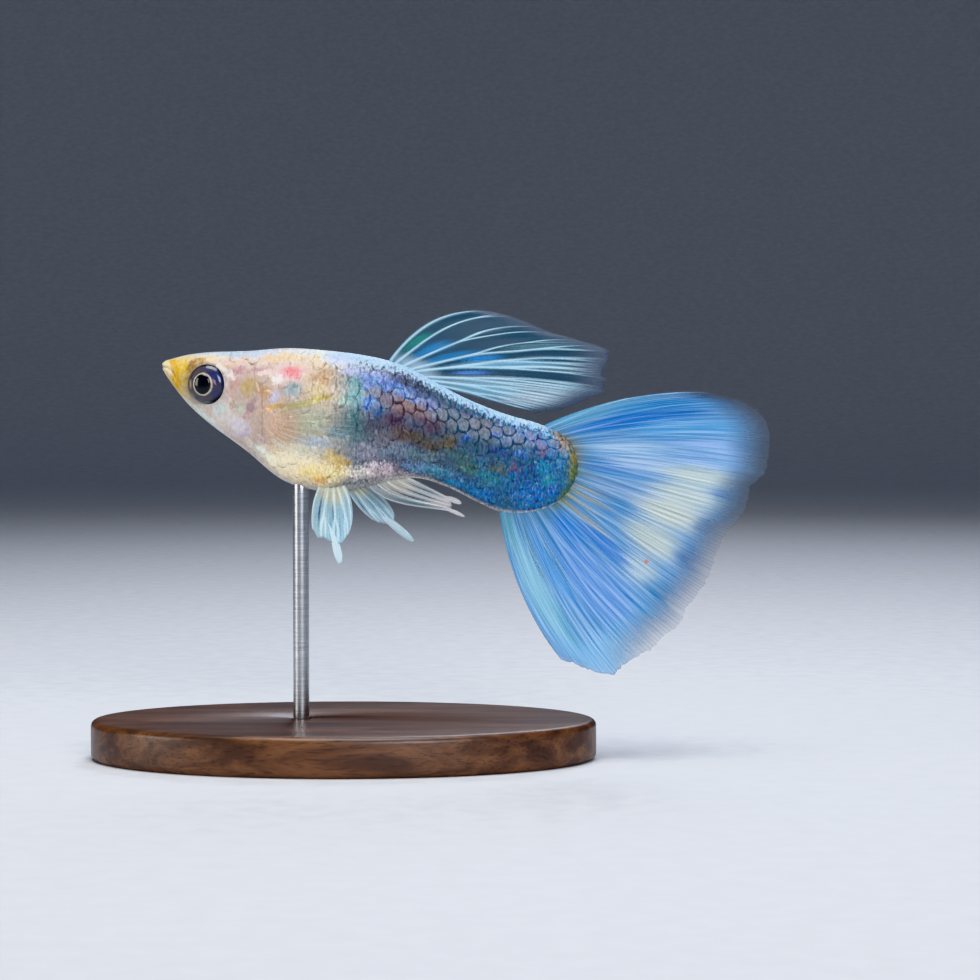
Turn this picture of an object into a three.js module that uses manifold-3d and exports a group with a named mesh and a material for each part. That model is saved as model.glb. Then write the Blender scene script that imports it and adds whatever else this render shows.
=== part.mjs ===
// A male fancy guppy at life size, swimming to the left with its tail hanging a little low, held over a
// small oval stand by one slim rod. Millimetres, +Z up, the fish faces -X, and its left side faces -Y.
// The part's origin is the centre of the stand's underside.
import * as THREE from 'three';
import { mergeVertices } from 'three/addons/utils/BufferGeometryUtils.js';
import Module from 'manifold-3d';

const wasm = await Module();
wasm.setup();

// Driving dimensions. Fish places are [back from the snout, height above the snout] or
// [back from the snout, to the right side (+Y), height above the snout].
const SNOUT_HEIGHT = 29.5; // snout above the floor
const STAND_TO_SNOUT = 13.5; // stand centre behind the snout
const SEAM = 0.28; // thin cut between neighbouring pieces
const FIN_THICK = 0.52;
const FIN_TIP_BULGE = 0.04; // fleshy fin tips stand out this much on each side of the fin
const EYE_RADIUS = 1.5;
const EYE_DEPTH = 0.85; // half thickness of the flattened eyeball
const EYE_PLACE = [3.52, 1.66, -1.36];
const EYE_FORWARD_DEG = 13; // the eyes look a little forward
const SOCKET_GAP = 0.17; // between an eye and its socket
const BASE_LENGTH = 38;
const BASE_WIDTH = 22;
const BASE_HEIGHT = 3;
const BASE_BEVEL = 0.5;
const ROD_RADIUS = 0.6;
const ROD_BACK = 10.3; // rod behind the snout
const ROD_SINK = 1.6; // how deep the rod stands in the base, and in the belly
const BELLY_AT_ROD = 9.1; // belly below the snout where the rod enters it

// The body is lofted along three rails. Each station gives the back edge, the flank (where the section is
// widest, with its half width) and the belly edge.
const STATIONS = [
  { back: [-0.02, 0.0], flank: [-0.02, 0.0, 0.0], belly: [-0.02, 0.0] },
  { back: [0.12, 0.4], flank: [0.12, 0.62, 0.0], belly: [0.1, -0.5] },
  { back: [0.65, 0.6], flank: [0.6, 1.05, -0.1], belly: [0.6, -1.3] },
  { back: [1.9, 0.92], flank: [1.9, 1.55, -0.5], belly: [1.9, -2.95] },
  { back: [3.6, 1.12], flank: [3.5, 2.05, -0.9], belly: [3.5, -4.4] },
  { back: [6.4, 1.2], flank: [6.2, 2.6, -1.8], belly: [6.2, -6.4] },
  { back: [9.4, 1.41], flank: [9.3, 2.95, -2.9], belly: [9.1, -8.7] },
  { back: [12.4, 1.22], flank: [12.2, 2.95, -3.6], belly: [12.0, -9.45] },
  { back: [15.6, 0.78], flank: [15.3, 2.6, -3.8], belly: [15.0, -9.15] },
  { back: [18.2, 0.05], flank: [17.9, 2.15, -4.0], belly: [17.2, -8.65] },
  { back: [20.6, -1.25], flank: [20.1, 1.75, -4.8], belly: [19.2, -8.5] },
  { back: [23.0, -2.48], flank: [22.4, 1.4, -6.0], belly: [21.4, -9.2] },
  { back: [25.6, -3.5], flank: [24.9, 1.1, -7.0], belly: [23.4, -10.2] },
  { back: [28.3, -4.3], flank: [27.6, 0.8, -7.6], belly: [25.3, -11.0] },
  { back: [30.2, -5.3], flank: [29.5, 0.55, -8.0], belly: [27.7, -11.0] },
  { back: [31.0, -6.6], flank: [30.7, 0.38, -8.2], belly: [29.9, -10.0] },
  { back: [31.2, -8.1], flank: [31.2, 0.0, -8.1], belly: [31.2, -8.1] },
];
const BODY_AROUND = 24;
const BODY_ALONG = 42;

const place = ([x, z]) => new THREE.Vector3(x, 0, z);
const rail = (name) =>
  new THREE.CatmullRomCurve3(
    STATIONS.map((s) => (name === 'flank' ? new THREE.Vector3(...s.flank) : place(s[name]))),
    false,
    'centripetal',
  );
const backRail = rail('back');
const flankRail = rail('flank');
const bellyRail = rail('belly');

// One point of the body's skin: s runs from snout 0 to tail root 1, turn from the back 0 over the flank to
// the belly pi. grow pushes the skin out, to cut a neighbour clear of it.
function skinPoint(s, turn, side, grow) {
  const flank = flankRail.getPoint(s);
  const edge = Math.cos(turn) > 0 ? backRail.getPoint(s) : bellyRail.getPoint(s);
  const reach = Math.abs(Math.cos(turn));
  const boxy = Math.cos(turn) > 0 ? 0.85 : 1.08; // backs are broad, bellies come to a soft keel
  const width = flank.y;
  flank.y = 0;
  const height = edge.sub(flank);
  const outward = grow * (0.2 + 0.8 * Math.min(1, width / 0.6));
  const length = Math.max(height.length(), 1e-6);
  const point = flank.clone().addScaledVector(height, reach * (1 + outward / Math.max(length, 0.4)));
  point.y = side * (width + outward) * Math.sin(turn) ** boxy;
  if (grow > 0) point.x += s < 0.5 ? -grow * (1 - s * 2) ** 8 : grow * (s * 2 - 1) ** 8;
  return point;
}

// A closed mesh whose shared vertices are merged, as a solid.
function solid(geometry) {
  const bare = geometry.clone();
  bare.deleteAttribute('normal');
  bare.deleteAttribute('uv');
  const merged = mergeVertices(bare, 1e-4);
  const made = new wasm.Manifold(
    new wasm.Mesh({
      numProp: 3,
      vertProperties: new Float32Array(merged.attributes.position.array),
      triVerts: new Uint32Array(merged.index.array),
    }),
  );
  return made;
}

// A solid back as a geometry, its largest body only, as a cut may leave a crumb.
function geometryOf(made) {
  const largest = made.decompose().sort((a, b) => b.volume() - a.volume())[0];
  const mesh = largest.getMesh();
  return new THREE.BufferGeometry()
    .setAttribute('position', new THREE.BufferAttribute(mesh.vertProperties, 3))
    .setIndex(new THREE.BufferAttribute(mesh.triVerts, 1))
    .toNonIndexed();
}

// The whole body from a sphere: its rings become the sections, its poles the snout and the tail root.
function bodySolid(grow) {
  const shape = new THREE.SphereGeometry(1, BODY_AROUND, BODY_ALONG);
  const at = shape.attributes.position;
  for (let i = 0; i < at.count; i++) {
    const ring = Math.acos(THREE.MathUtils.clamp(at.getY(i), -1, 1)) / Math.PI;
    const round = Math.hypot(at.getX(i), at.getZ(i));
    const turn = round < 1e-6 ? 0 : Math.acos(THREE.MathUtils.clamp(at.getX(i) / round, -1, 1));
    const point = skinPoint(ring, turn, at.getZ(i) < 0 ? 1 : -1, grow);
    at.setXYZ(i, point.x, round < 1e-6 ? 0 : point.y, point.z);
  }
  return solid(shape);
}

// A thin curved wall through the fish, seen from the side as a band along a few [back, height] points.
const WALL_DEPTH = 12; // more than the fish is wide
function wall(points, thickness) {
  const curve = new THREE.SplineCurve(points.map(([x, z]) => new THREE.Vector2(x, z)));
  const steps = points.length * 5;
  const offset = (t, sign) => {
    const along = curve.getTangent(t);
    const point = curve.getPoint(t);
    return new THREE.Vector2(
      point.x - (sign * along.y * thickness) / 2,
      point.y + (sign * along.x * thickness) / 2,
    );
  };
  const ts = Array.from({ length: steps + 1 }, (_, i) => i / steps);
  const band = [...ts.map((t) => offset(t, 1)), ...ts.reverse().map((t) => offset(t, -1))];
  const made = new THREE.ExtrudeGeometry(new THREE.Shape(band), { depth: WALL_DEPTH, bevelEnabled: false });
  made.translate(0, 0, -WALL_DEPTH / 2).rotateX(Math.PI / 2);
  return solid(made);
}

// A fin is a thin curved sheet between a base line and a margin. Its rays run from base to margin and bow
// out by bow (in mm) where bowShare says, most at bowPeak of their length; lift(u, v) moves the sheet
// sideways.
function finGeometry({ base, margin, bow, bowShare, bowPeak = 0.5, lift, across, along }) {
  const rise = 2 * bowPeak;
  const fall = 2 - rise;
  const crest = bowPeak ** rise * (1 - bowPeak) ** fall;
  const swell = (v) => (v ** rise * (1 - v) ** fall) / crest;
  const curve = (points) =>
    new THREE.CatmullRomCurve3(points.map((p) => new THREE.Vector3(...p)), false, 'centripetal');
  const baseLine = curve(base);
  const marginLine = curve(margin);
  const sheet = (u, v) => {
    const foot = baseLine.getPoint(u);
    const ray = marginLine.getPoint(u).sub(foot);
    const outward = new THREE.Vector3(-ray.z, 0, ray.x).normalize();
    const point = foot.clone().addScaledVector(ray, v);
    point.addScaledVector(outward, bow * bowShare(u) * swell(v));
    point.y += lift(u, v);
    return point;
  };
  const shape = new THREE.BoxGeometry(1, 1, 1, across, along, 1);
  const at = shape.attributes.position;
  const step = 0.01;
  for (let i = 0; i < at.count; i++) {
    const u = at.getX(i) + 0.5;
    const v = at.getY(i) + 0.5;
    const du = sheet(Math.min(u + step, 1), v).sub(sheet(Math.max(u - step, 0), v));
    const dv = sheet(u, Math.min(v + step, 1)).sub(sheet(u, Math.max(v - step, 0)));
    const normal = du.cross(dv).normalize();
    const point = sheet(u, v).addScaledVector(normal, at.getZ(i) * FIN_THICK);
    at.setXYZ(i, point.x, point.y, point.z);
  }
  return shape;
}

const clearOfBody = (shape, cutter) => geometryOf(solid(shape).subtract(cutter));
const mirrored = (points) => points.map(([x, y, z]) => [x, -y, z]);

const skin = {
  head: new THREE.MeshStandardMaterial({ color: 0xd8c9b0, roughness: 0.4, metalness: 0.1 }),
  trunk: new THREE.MeshStandardMaterial({ color: 0x9fa9b5, roughness: 0.35, metalness: 0.2 }),
  tail: new THREE.MeshStandardMaterial({ color: 0x3b6f93, roughness: 0.35, metalness: 0.25 }),
  fin: new THREE.MeshStandardMaterial({ color: 0x6fa8d6, roughness: 0.4, metalness: 0.1 }),
  paleFin: new THREE.MeshStandardMaterial({ color: 0xa8cbd8, roughness: 0.45, metalness: 0.0 }),
  eye: new THREE.MeshStandardMaterial({ color: 0x1b1c2c, roughness: 0.08, metalness: 0.0 }),
  wood: new THREE.MeshStandardMaterial({ color: 0x4a3226, roughness: 0.5, metalness: 0.0 }),
  steel: new THREE.MeshStandardMaterial({ color: 0xb9bcc0, roughness: 0.3, metalness: 1.0 }),
};

const fish = new THREE.Group();
fish.position.set(-STAND_TO_SNOUT, 0, SNOUT_HEIGHT);
const stand = new THREE.Group();

function add(group, name, geometry, material) {
  const mesh = new THREE.Mesh(geometry, material);
  mesh.name = name;
  group.add(mesh);
  return mesh;
}

// Head, lower jaw, trunk and tail stalk: the whole body parted by thin cuts, with sockets for the eyes
// and the rod.
const GILL_EDGE = [[5.2, 2.6], [6.6, 1.2], [7.6, -1.2], [7.9, -3.8], [7.2, -6.2], [5.9, -8.6]];
const STALK_EDGE = [[21.6, 0.4], [20.0, -4.8], [19.0, -10.0]];
const MOUTH_CUT = [[-0.6, 0.18], [0.35, -0.12], [1.05, -0.95], [1.6, -1.9], [1.7, -3.6]];
const MOUTH_SLIT = 0.14;

function eyeMesh(side) {
  const eye = new THREE.Mesh(new THREE.SphereGeometry(1, 18, 11), skin.eye);
  const [x, y, z] = EYE_PLACE;
  eye.position.set(x, side * y, z);
  eye.rotation.z = THREE.MathUtils.degToRad(side * -EYE_FORWARD_DEG);
  return eye;
}

function socket(side) {
  const eye = eyeMesh(side);
  eye.scale.set(EYE_RADIUS + SOCKET_GAP, EYE_DEPTH + SOCKET_GAP, EYE_RADIUS + SOCKET_GAP);
  eye.updateMatrixWorld();
  return solid(eye.geometry.clone().applyMatrix4(eye.matrixWorld));
}

const rodLength = SNOUT_HEIGHT - BELLY_AT_ROD - BASE_HEIGHT + ROD_SINK * 2;
const rodShape = (radius) =>
  new THREE.CylinderGeometry(radius, radius, rodLength, 20)
    .rotateX(Math.PI / 2)
    .translate(ROD_BACK - STAND_TO_SNOUT, 0, BASE_HEIGHT - ROD_SINK + rodLength / 2);

const rodHole = (x, z) => solid(rodShape(ROD_RADIUS + SEAM).translate(x, 0, z));

const body = bodySolid(0);
const grownBody = bodySolid(SEAM);
const pieces = body
  .subtract(wall(GILL_EDGE, SEAM))
  .subtract(wall(STALK_EDGE, SEAM))
  .decompose()
  .sort((a, b) => a.boundingBox().min[0] - b.boundingBox().min[0]);
const [wholeHead, trunk, stalk] = pieces;
const headParts = wholeHead
  .subtract(wall(MOUTH_CUT, MOUTH_SLIT))
  .subtract(socket(1))
  .subtract(socket(-1))
  .decompose()
  .sort((a, b) => b.volume() - a.volume());

add(fish, 'head', geometryOf(headParts[0]), skin.head);
add(fish, 'lower_jaw', geometryOf(headParts[1]), skin.head);
const bellyHole = rodHole(STAND_TO_SNOUT, SEAM - SNOUT_HEIGHT);
add(fish, 'trunk', geometryOf(trunk.subtract(bellyHole)), skin.trunk);
add(fish, 'tail_stalk', geometryOf(stalk), skin.tail);

for (const [name, side] of [['eye_left', -1], ['eye_right', 1]]) {
  const eye = eyeMesh(side);
  eye.scale.set(EYE_RADIUS, EYE_DEPTH, EYE_RADIUS);
  eye.name = name;
  fish.add(eye);
}

// Tail fin: a broad fan with a long upper corner, swung a little towards the fish's left.
const TAIL_SWING = 2.6;
const TAIL_WAVE = 0.55;
const tailFin = finGeometry({
  base: [[28.0, 0, -4.7], [29.9, 0, -6.0], [30.2, 0, -8.1], [28.4, 0, -10.1], [25.2, 0, -10.85]],
  margin: [
    [41.2, 0, -2.0], [44.0, 0, -2.9], [45.6, 0, -5.0], [45.0, 0, -7.9], [43.9, 0, -10.0],
    [42.5, 0, -12.6], [41.0, 0, -15.8], [39.3, 0, -18.5], [36.8, 0, -21.2], [33.2, 0, -23.1],
    [29.9, 0, -21.9],
  ],
  bow: 0.85,
  bowShare: (u) => Math.cos(Math.PI * u) * Math.abs(Math.cos(Math.PI * u)),
  lift: (u, v) => -TAIL_SWING * v ** 1.7 + TAIL_WAVE * v * Math.sin(u * Math.PI * 3 + 0.6),
  across: 25,
  along: 9,
});
add(fish, 'tail_fin', clearOfBody(tailFin, grownBody), skin.fin);

// Dorsal fin: swept back over the tail stalk, leaning to the right so that it passes the tail fin.
const DORSAL_LEAN = 1.35;
const dorsalFin = finGeometry({
  base: [[16.9, 0, 0.35], [18.4, 0, -0.35], [20.25, 0, -1.45]],
  margin: [
    [25.0, 0, 4.0], [27.1, 0, 3.6], [29.5, 0, 2.5], [32.1, 0, 1.9], [34.0, 0, 1.15],
    [33.8, 0, -0.4], [33.7, 0, -1.7], [32.6, 0, -2.45], [30.6, 0, -3.25], [28.2, 0, -3.6],
  ],
  bow: 1.45,
  bowShare: (u) => (1 - u) ** 1.2,
  lift: (u, v) => DORSAL_LEAN * v ** 1.3,
  across: 20,
  along: 9,
});
add(fish, 'dorsal_fin', clearOfBody(dorsalFin, grownBody), skin.fin);

// Pectoral fins: rounded fans behind the gill covers, standing off the flanks. The right one beats lower.
const pectoral = (drop, flare) => ({
  base: [[8.1, -2.35, -3.2], [8.2, -2.45, -4.2], [8.0, -2.2, -5.3]],
  margin: [
    [9.9, -3.4, -2.8], [12.0, -3.9 - flare * 0.6, -2.5 - drop * 0.5], [14.3, -4.4 - flare, -3.4 - drop],
    [14.9, -4.5 - flare, -5.1 - drop], [13.7, -4.2 - flare, -6.5 - drop],
    [11.8, -3.8 - flare * 0.6, -6.9 - drop * 0.5], [9.8, -3.2, -6.3],
  ],
  bow: 0.2,
  bowShare: (u) => Math.cos(Math.PI * u),
  lift: (u, v) => -0.25 * Math.sin(Math.PI * v),
  across: 10,
  along: 6,
});
const leftPectoral = pectoral(0, 0);
const rightPectoral = pectoral(1.7, 0.7);
rightPectoral.base = mirrored(rightPectoral.base);
rightPectoral.margin = mirrored(rightPectoral.margin);
rightPectoral.lift = (u, v) => 0.25 * Math.sin(Math.PI * v);
add(fish, 'pectoral_fin_left', clearOfBody(finGeometry(leftPectoral), grownBody), skin.paleFin);
add(fish, 'pectoral_fin_right', clearOfBody(finGeometry(rightPectoral), grownBody), skin.paleFin);

// A fleshy fin tip: a slim spindle between two points.
function spindle(from, to, width) {
  const start = new THREE.Vector3(...from);
  const end = new THREE.Vector3(...to);
  const tip = new THREE.Mesh(new THREE.SphereGeometry(1, 10, 8));
  tip.position.copy(start).lerp(end, 0.5);
  tip.quaternion.setFromUnitVectors(new THREE.Vector3(0, 1, 0), end.clone().sub(start).normalize());
  tip.scale.set(width / 2, start.distanceTo(end) / 2, FIN_THICK / 2 + FIN_TIP_BULGE);
  tip.updateMatrixWorld();
  return solid(tip.geometry.applyMatrix4(tip.matrixWorld));
}

function tippedFin(sheet, tips) {
  const joined = tips.reduce((whole, tip) => whole.add(spindle(...tip)), solid(finGeometry(sheet)));
  return geometryOf(joined.subtract(grownBody));
}

// Pelvic fins: small fans under the belly, each with one long fleshy tip. The left hangs, the right trails.
const leftPelvic = {
  base: [[11.7, -0.75, -9.0], [12.8, -0.85, -9.1], [13.7, -0.8, -8.9]],
  margin: [
    [11.3, -1.9, -12.3], [11.8, -2.2, -13.05], [12.4, -2.35, -13.1], [13.3, -2.6, -13.45],
    [13.95, -2.5, -12.8], [14.25, -2.2, -11.8],
  ],
  bow: 0.25,
  bowShare: (u) => -Math.cos(Math.PI * u),
  lift: () => 0,
  across: 10,
  along: 6,
};
const rightPelvic = {
  base: [[13.6, 0.9, -8.95], [14.3, 1.0, -8.95], [15.1, 1.0, -8.85]],
  margin: [
    [15.9, 1.55, -11.8], [16.6, 1.7, -12.1], [17.35, 1.8, -12.0], [17.3, 1.75, -11.2],
  ],
  bow: 0.3,
  bowShare: (u) => -Math.cos(Math.PI * u),
  lift: () => 0,
  across: 8,
  along: 6,
};
const leftTip = [[12.4, -1.9, -11.6], [13.4, -2.75, -14.7], 0.8];
const rightTip = [[14.9, 1.35, -10.5], [18.75, 2.1, -13.35], 0.75];
add(fish, 'pelvic_fin_left', tippedFin(leftPelvic, [leftTip]), skin.paleFin);
add(fish, 'pelvic_fin_right', tippedFin(rightPelvic, [rightTip]), skin.paleFin);

// Anal fin: the male's narrow rod-like fin, laid back under the tail stalk, with a forked tip.
const analFin = {
  base: [[15.3, 0, -8.6], [16.8, 0, -8.4], [18.0, 0, -8.1]],
  margin: [[21.6, 0, -10.95], [21.75, 0, -10.5], [21.7, 0, -10.0]],
  bow: 0.8,
  bowShare: (u) => -((1 - u) ** 1.5),
  bowPeak: 0.3,
  lift: () => 0,
  across: 8,
  along: 8,
};
const upperFork = [[20.3, 0, -9.85], [22.4, 0, -10.35], 0.55];
const lowerFork = [[20.4, 0, -10.6], [22.65, 0, -11.35], 0.42];
add(fish, 'anal_fin', tippedFin(analFin, [upperFork, lowerFork]), skin.paleFin);

// Stand: an oval wooden base with an eased edge, and one steel rod from a hole in it up into the belly.
const oval = new THREE.Shape();
oval.absellipse(0, 0, BASE_LENGTH / 2 - BASE_BEVEL, BASE_WIDTH / 2 - BASE_BEVEL, 0, Math.PI * 2);
const baseShape = new THREE.ExtrudeGeometry(oval, {
  depth: BASE_HEIGHT - 2 * BASE_BEVEL,
  bevelSize: BASE_BEVEL,
  bevelThickness: BASE_BEVEL,
  bevelSegments: 2,
  curveSegments: 22,
}).translate(0, 0, BASE_BEVEL);
const drilledBase = solid(baseShape).subtract(rodHole(0, -SEAM));
add(stand, 'stand_base', geometryOf(drilledBase), skin.wood);
add(stand, 'stand_rod', rodShape(ROD_RADIUS), skin.steel);

const guppy = new THREE.Group();
guppy.add(fish, stand);

export default guppy;
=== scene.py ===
"""A male fancy guppy at life size on a small display stand: skin, scales, eyes, fins, stand and studio.

Metres in the model's own frame. The fish's places are written in fish millimetres: back from the snout, to
its right side, and up from the snout, and in_frame() puts them in the model.
"""
import math

import bpy
import mathutils
import numpy as np
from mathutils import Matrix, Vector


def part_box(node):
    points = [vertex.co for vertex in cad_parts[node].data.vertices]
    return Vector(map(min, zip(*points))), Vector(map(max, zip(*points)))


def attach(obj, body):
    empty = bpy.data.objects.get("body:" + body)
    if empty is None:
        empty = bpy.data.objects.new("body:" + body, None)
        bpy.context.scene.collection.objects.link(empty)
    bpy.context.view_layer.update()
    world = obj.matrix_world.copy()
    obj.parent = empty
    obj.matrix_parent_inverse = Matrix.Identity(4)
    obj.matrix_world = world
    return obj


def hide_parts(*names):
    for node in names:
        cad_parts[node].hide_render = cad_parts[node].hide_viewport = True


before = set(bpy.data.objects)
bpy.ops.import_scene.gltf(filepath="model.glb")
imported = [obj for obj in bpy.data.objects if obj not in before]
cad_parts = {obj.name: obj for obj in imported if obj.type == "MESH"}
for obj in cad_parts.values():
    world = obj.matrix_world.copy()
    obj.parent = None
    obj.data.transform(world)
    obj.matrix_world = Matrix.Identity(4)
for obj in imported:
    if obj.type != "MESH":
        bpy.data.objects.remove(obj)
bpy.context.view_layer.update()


# The skin.
# One soft skin covers head, jaw, trunk and tail stalk. In life it is wet, clear outside and packed with
# mirror-like and dark pigment cells beneath. It is lofted along three rails and then modelled at the head.
MM = 0.001
SNOUT = np.array([-0.0135, 0.0, 0.0295])  # the snout's place in the model
COAT_DEPTH = 0.09  # the skin lies this far inside the solids, in mm, and the scales fill it
BACK_FULLNESS = 0.85  # below 1 the section above the flank is fuller than an ellipse
BELLY_FULLNESS = 1.08  # above 1 the section below it is leaner
STATIONS = [  # back edge, flank with its half width, belly edge
    ((-0.02, 0.0), (-0.02, 0.0, 0.0), (-0.02, 0.0)),
    ((0.12, 0.4), (0.12, 0.62, 0.0), (0.1, -0.5)),
    ((0.65, 0.6), (0.6, 1.05, -0.1), (0.6, -1.3)),
    ((1.9, 0.92), (1.9, 1.55, -0.5), (1.9, -2.95)),
    ((3.6, 1.12), (3.5, 2.05, -0.9), (3.5, -4.4)),
    ((6.4, 1.2), (6.2, 2.6, -1.8), (6.2, -6.4)),
    ((9.4, 1.41), (9.3, 2.95, -2.9), (9.1, -8.7)),
    ((12.4, 1.22), (12.2, 2.95, -3.6), (12.0, -9.45)),
    ((15.6, 0.78), (15.3, 2.6, -3.8), (15.0, -9.15)),
    ((18.2, 0.05), (17.9, 2.15, -4.0), (17.2, -8.65)),
    ((20.6, -1.25), (20.1, 1.75, -4.8), (19.2, -8.5)),
    ((23.0, -2.48), (22.4, 1.4, -6.0), (21.4, -9.2)),
    ((25.6, -3.5), (24.9, 1.1, -7.0), (23.4, -10.2)),
    ((28.3, -4.3), (27.6, 0.8, -7.6), (25.3, -11.0)),
    ((30.2, -5.3), (29.5, 0.55, -8.0), (27.7, -11.0)),
    ((31.0, -6.6), (30.7, 0.38, -8.2), (29.9, -10.0)),
    ((31.2, -8.1), (31.2, 0.0, -8.1), (31.2, -8.1)),
]


def smooth_curve(points, share):
    """Places on a smooth curve through the points, as share runs from 0 at the first to 1 at the last."""
    points = np.array(points, float)
    ends = (2 * points[0] - points[1], 2 * points[-1] - points[-2])
    padded = np.vstack([ends[0], points, ends[1]])
    reach = np.clip(np.asarray(share, float), 0, 1) * (len(points) - 1)
    first = np.minimum(reach.astype(int), len(points) - 2)
    part = (reach - first)[..., None]
    p0, p1, p2, p3 = (padded[first + k] for k in range(4))
    pairs = ((p0, p1), (p1, p2), (p2, p3))
    gaps = [np.sqrt(np.linalg.norm(b - a, axis=-1, keepdims=True)) for a, b in pairs]
    g0, g1, g2 = (np.maximum(gap, 1e-4) for gap in gaps)
    leave = ((p1 - p0) / g0 - (p2 - p0) / (g0 + g1) + (p2 - p1) / g1) * g1
    arrive = ((p2 - p1) / g1 - (p3 - p1) / (g1 + g2) + (p3 - p2) / g2) * g1
    cubic = 2 * p1 - 2 * p2 + leave + arrive
    square = -3 * p1 + 3 * p2 - 2 * leave - arrive
    return ((cubic * part + square) * part + leave) * part + p1


def body_surface(share, turn, grow=-COAT_DEPTH):
    """Points of the body. share runs from the snout, 0, to the tail's root, 1, and turn from the back, 0,
    over the left flank to the belly, pi, and over the right flank to 2 pi."""
    flank = smooth_curve([s[1] for s in STATIONS], share)
    back = smooth_curve([(s[0][0], 0, s[0][1]) for s in STATIONS], share)
    belly = smooth_curve([(s[2][0], 0, s[2][1]) for s in STATIONS], share)
    width = flank[..., 1:2].copy()
    flank[..., 1] = 0
    upper = (np.cos(turn) > 0)[..., None]
    rise = np.where(upper, back, belly) - flank
    length = np.linalg.norm(rise, axis=-1, keepdims=True)
    outward = grow * (0.2 + 0.8 * np.minimum(1, width / 0.6))
    reach = np.abs(np.cos(turn))[..., None] * (1 + outward / np.maximum(length, 0.4))
    points = flank + rise * reach
    across = np.abs(np.sin(turn)) ** np.where(upper[..., 0], BACK_FULLNESS, BELLY_FULLNESS)
    side = np.where(np.sin(turn) > 0, -1, 1)
    points[..., 1] = side * np.maximum(width[..., 0] + outward[..., 0], 0) * across
    return points


def surface_normal(share, turn):
    """Outward directions of the body at the same places."""
    step = 2e-3
    ahead = body_surface(np.maximum(share - step, 5e-4), turn)
    behind = body_surface(np.minimum(share + step, 0.9995), turn)
    round_it = body_surface(share, turn + 2 * step) - body_surface(share, turn - 2 * step)
    normal = np.cross(round_it, behind - ahead)
    normal /= np.maximum(np.linalg.norm(normal, axis=-1, keepdims=True), 1e-9)
    return normal


def distance_to_line(points, line):
    """For points seen from the side: distance to a broken line, how far along it, and which side of it."""
    spots = points[..., [0, 2]]
    best = np.full(spots.shape[:-1], 1e9)
    along = np.zeros_like(best)
    side = np.ones_like(best)
    for i, (a, b) in enumerate(zip(line[:-1], line[1:])):
        a, b = np.array(a, float), np.array(b, float)
        run = b - a
        t = np.clip(((spots - a) @ run) / (run @ run), 0, 1)
        away = spots - (a + t[..., None] * run)
        distance = np.linalg.norm(away, axis=-1)
        nearer = distance < best
        best = np.where(nearer, distance, best)
        along = np.where(nearer, (i + t) / (len(line) - 1), along)
        side = np.where(nearer, np.sign(run[0] * away[..., 1] - run[1] * away[..., 0]), side)
    return best, along, side


def ease(value, low, high):
    """0 up to low, 1 from high, and a smooth rise between."""
    t = np.clip((value - low) / (high - low), 0, 1)
    return t * t * (3 - 2 * t)


def in_frame(points):
    """Fish millimetres as the model's metres."""
    return SNOUT + np.asarray(points, float) * MM


def new_piece(name, points, faces, uvs=(), values=()):
    """A mesh object from fish millimetres. uvs are names with a pair for each vertex, and values are names
    with a number for each vertex."""
    mesh = bpy.data.meshes.new(name)
    mesh.from_pydata(in_frame(points).tolist(), [], faces if isinstance(faces, list) else faces.tolist())
    corners = np.zeros(len(mesh.loops), int)
    mesh.loops.foreach_get("vertex_index", corners)
    for label, pairs in uvs:
        layer = mesh.uv_layers.new(name=label)
        layer.data.foreach_set("uv", np.asarray(pairs, float)[corners].ravel())
    for label, numbers in values:
        attribute = mesh.attributes.new(label, "FLOAT", "POINT")
        attribute.data.foreach_set("value", np.asarray(numbers, float).ravel())
    mesh.shade_smooth()
    piece = bpy.data.objects.new(name, mesh)
    bpy.context.collection.objects.link(piece)
    return piece


def grid_faces(rows, columns, closed=False):
    """Quads of a grid of rows by columns, the columns joined round if closed."""
    r, c = np.meshgrid(np.arange(rows - 1), np.arange(columns if closed else columns - 1), indexing="ij")
    after = (c + 1) % columns
    quads = [r * columns + c, r * columns + after, (r + 1) * columns + after, (r + 1) * columns + c]
    return np.stack(quads, -1).reshape(-1, 4)


def closed_tube(rings, sides):
    """Faces of rings of points joined in order and closed at each end to a point. Both points come last."""
    faces = grid_faces(rings, sides, closed=True).tolist()
    first_end = rings * sides
    last_ring = first_end - sides
    for k in range(sides):
        after = (k + 1) % sides
        faces.append([first_end, after, k])
        faces.append([first_end + 1, last_ring + k, last_ring + after])
    return faces


EYE_PLACE = np.array([3.52, 1.66, -1.36])
EYE_RADIUS = 1.5
EYE_DEPTH = 0.85
EYE_FORWARD = math.radians(13)
SOCKET_AHEAD = 0.12  # the eye's socket sits this far ahead of the eye's middle
SOCKET_DEPTH = 0.55
SOCKET_RIM = 1.62
GILL_EDGE = [(5.6, 1.1), (6.6, 0.3), (7.35, -1.3), (7.6, -3.4), (7.3, -5.0), (6.6, -6.2), (6.0, -7.0)]
CHEEK_EDGE = [(4.9, -0.6), (5.35, -1.6), (5.4, -2.9), (4.9, -4.0), (4.0, -4.5)]
MOUTH_LINE = [(-0.2, -0.02), (0.35, -0.1), (0.8, -0.42), (1.02, -0.78)]
LIP_FOLD = [(0.62, 0.5), (0.66, 0.0), (0.98, -0.75), (1.25, -1.5), (1.32, -2.0)]
NOSTRIL = (1.75, 0.35)
JAW_FOLD = [(1.02, -0.78), (1.5, -1.65), (2.2, -2.5), (3.1, -3.35)]


def groove(away, depth, width):
    """A soft groove, or a ridge for a depth below 0, by distance from its middle line, in mm."""
    return -depth * np.exp(-((away / width) ** 2))


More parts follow.
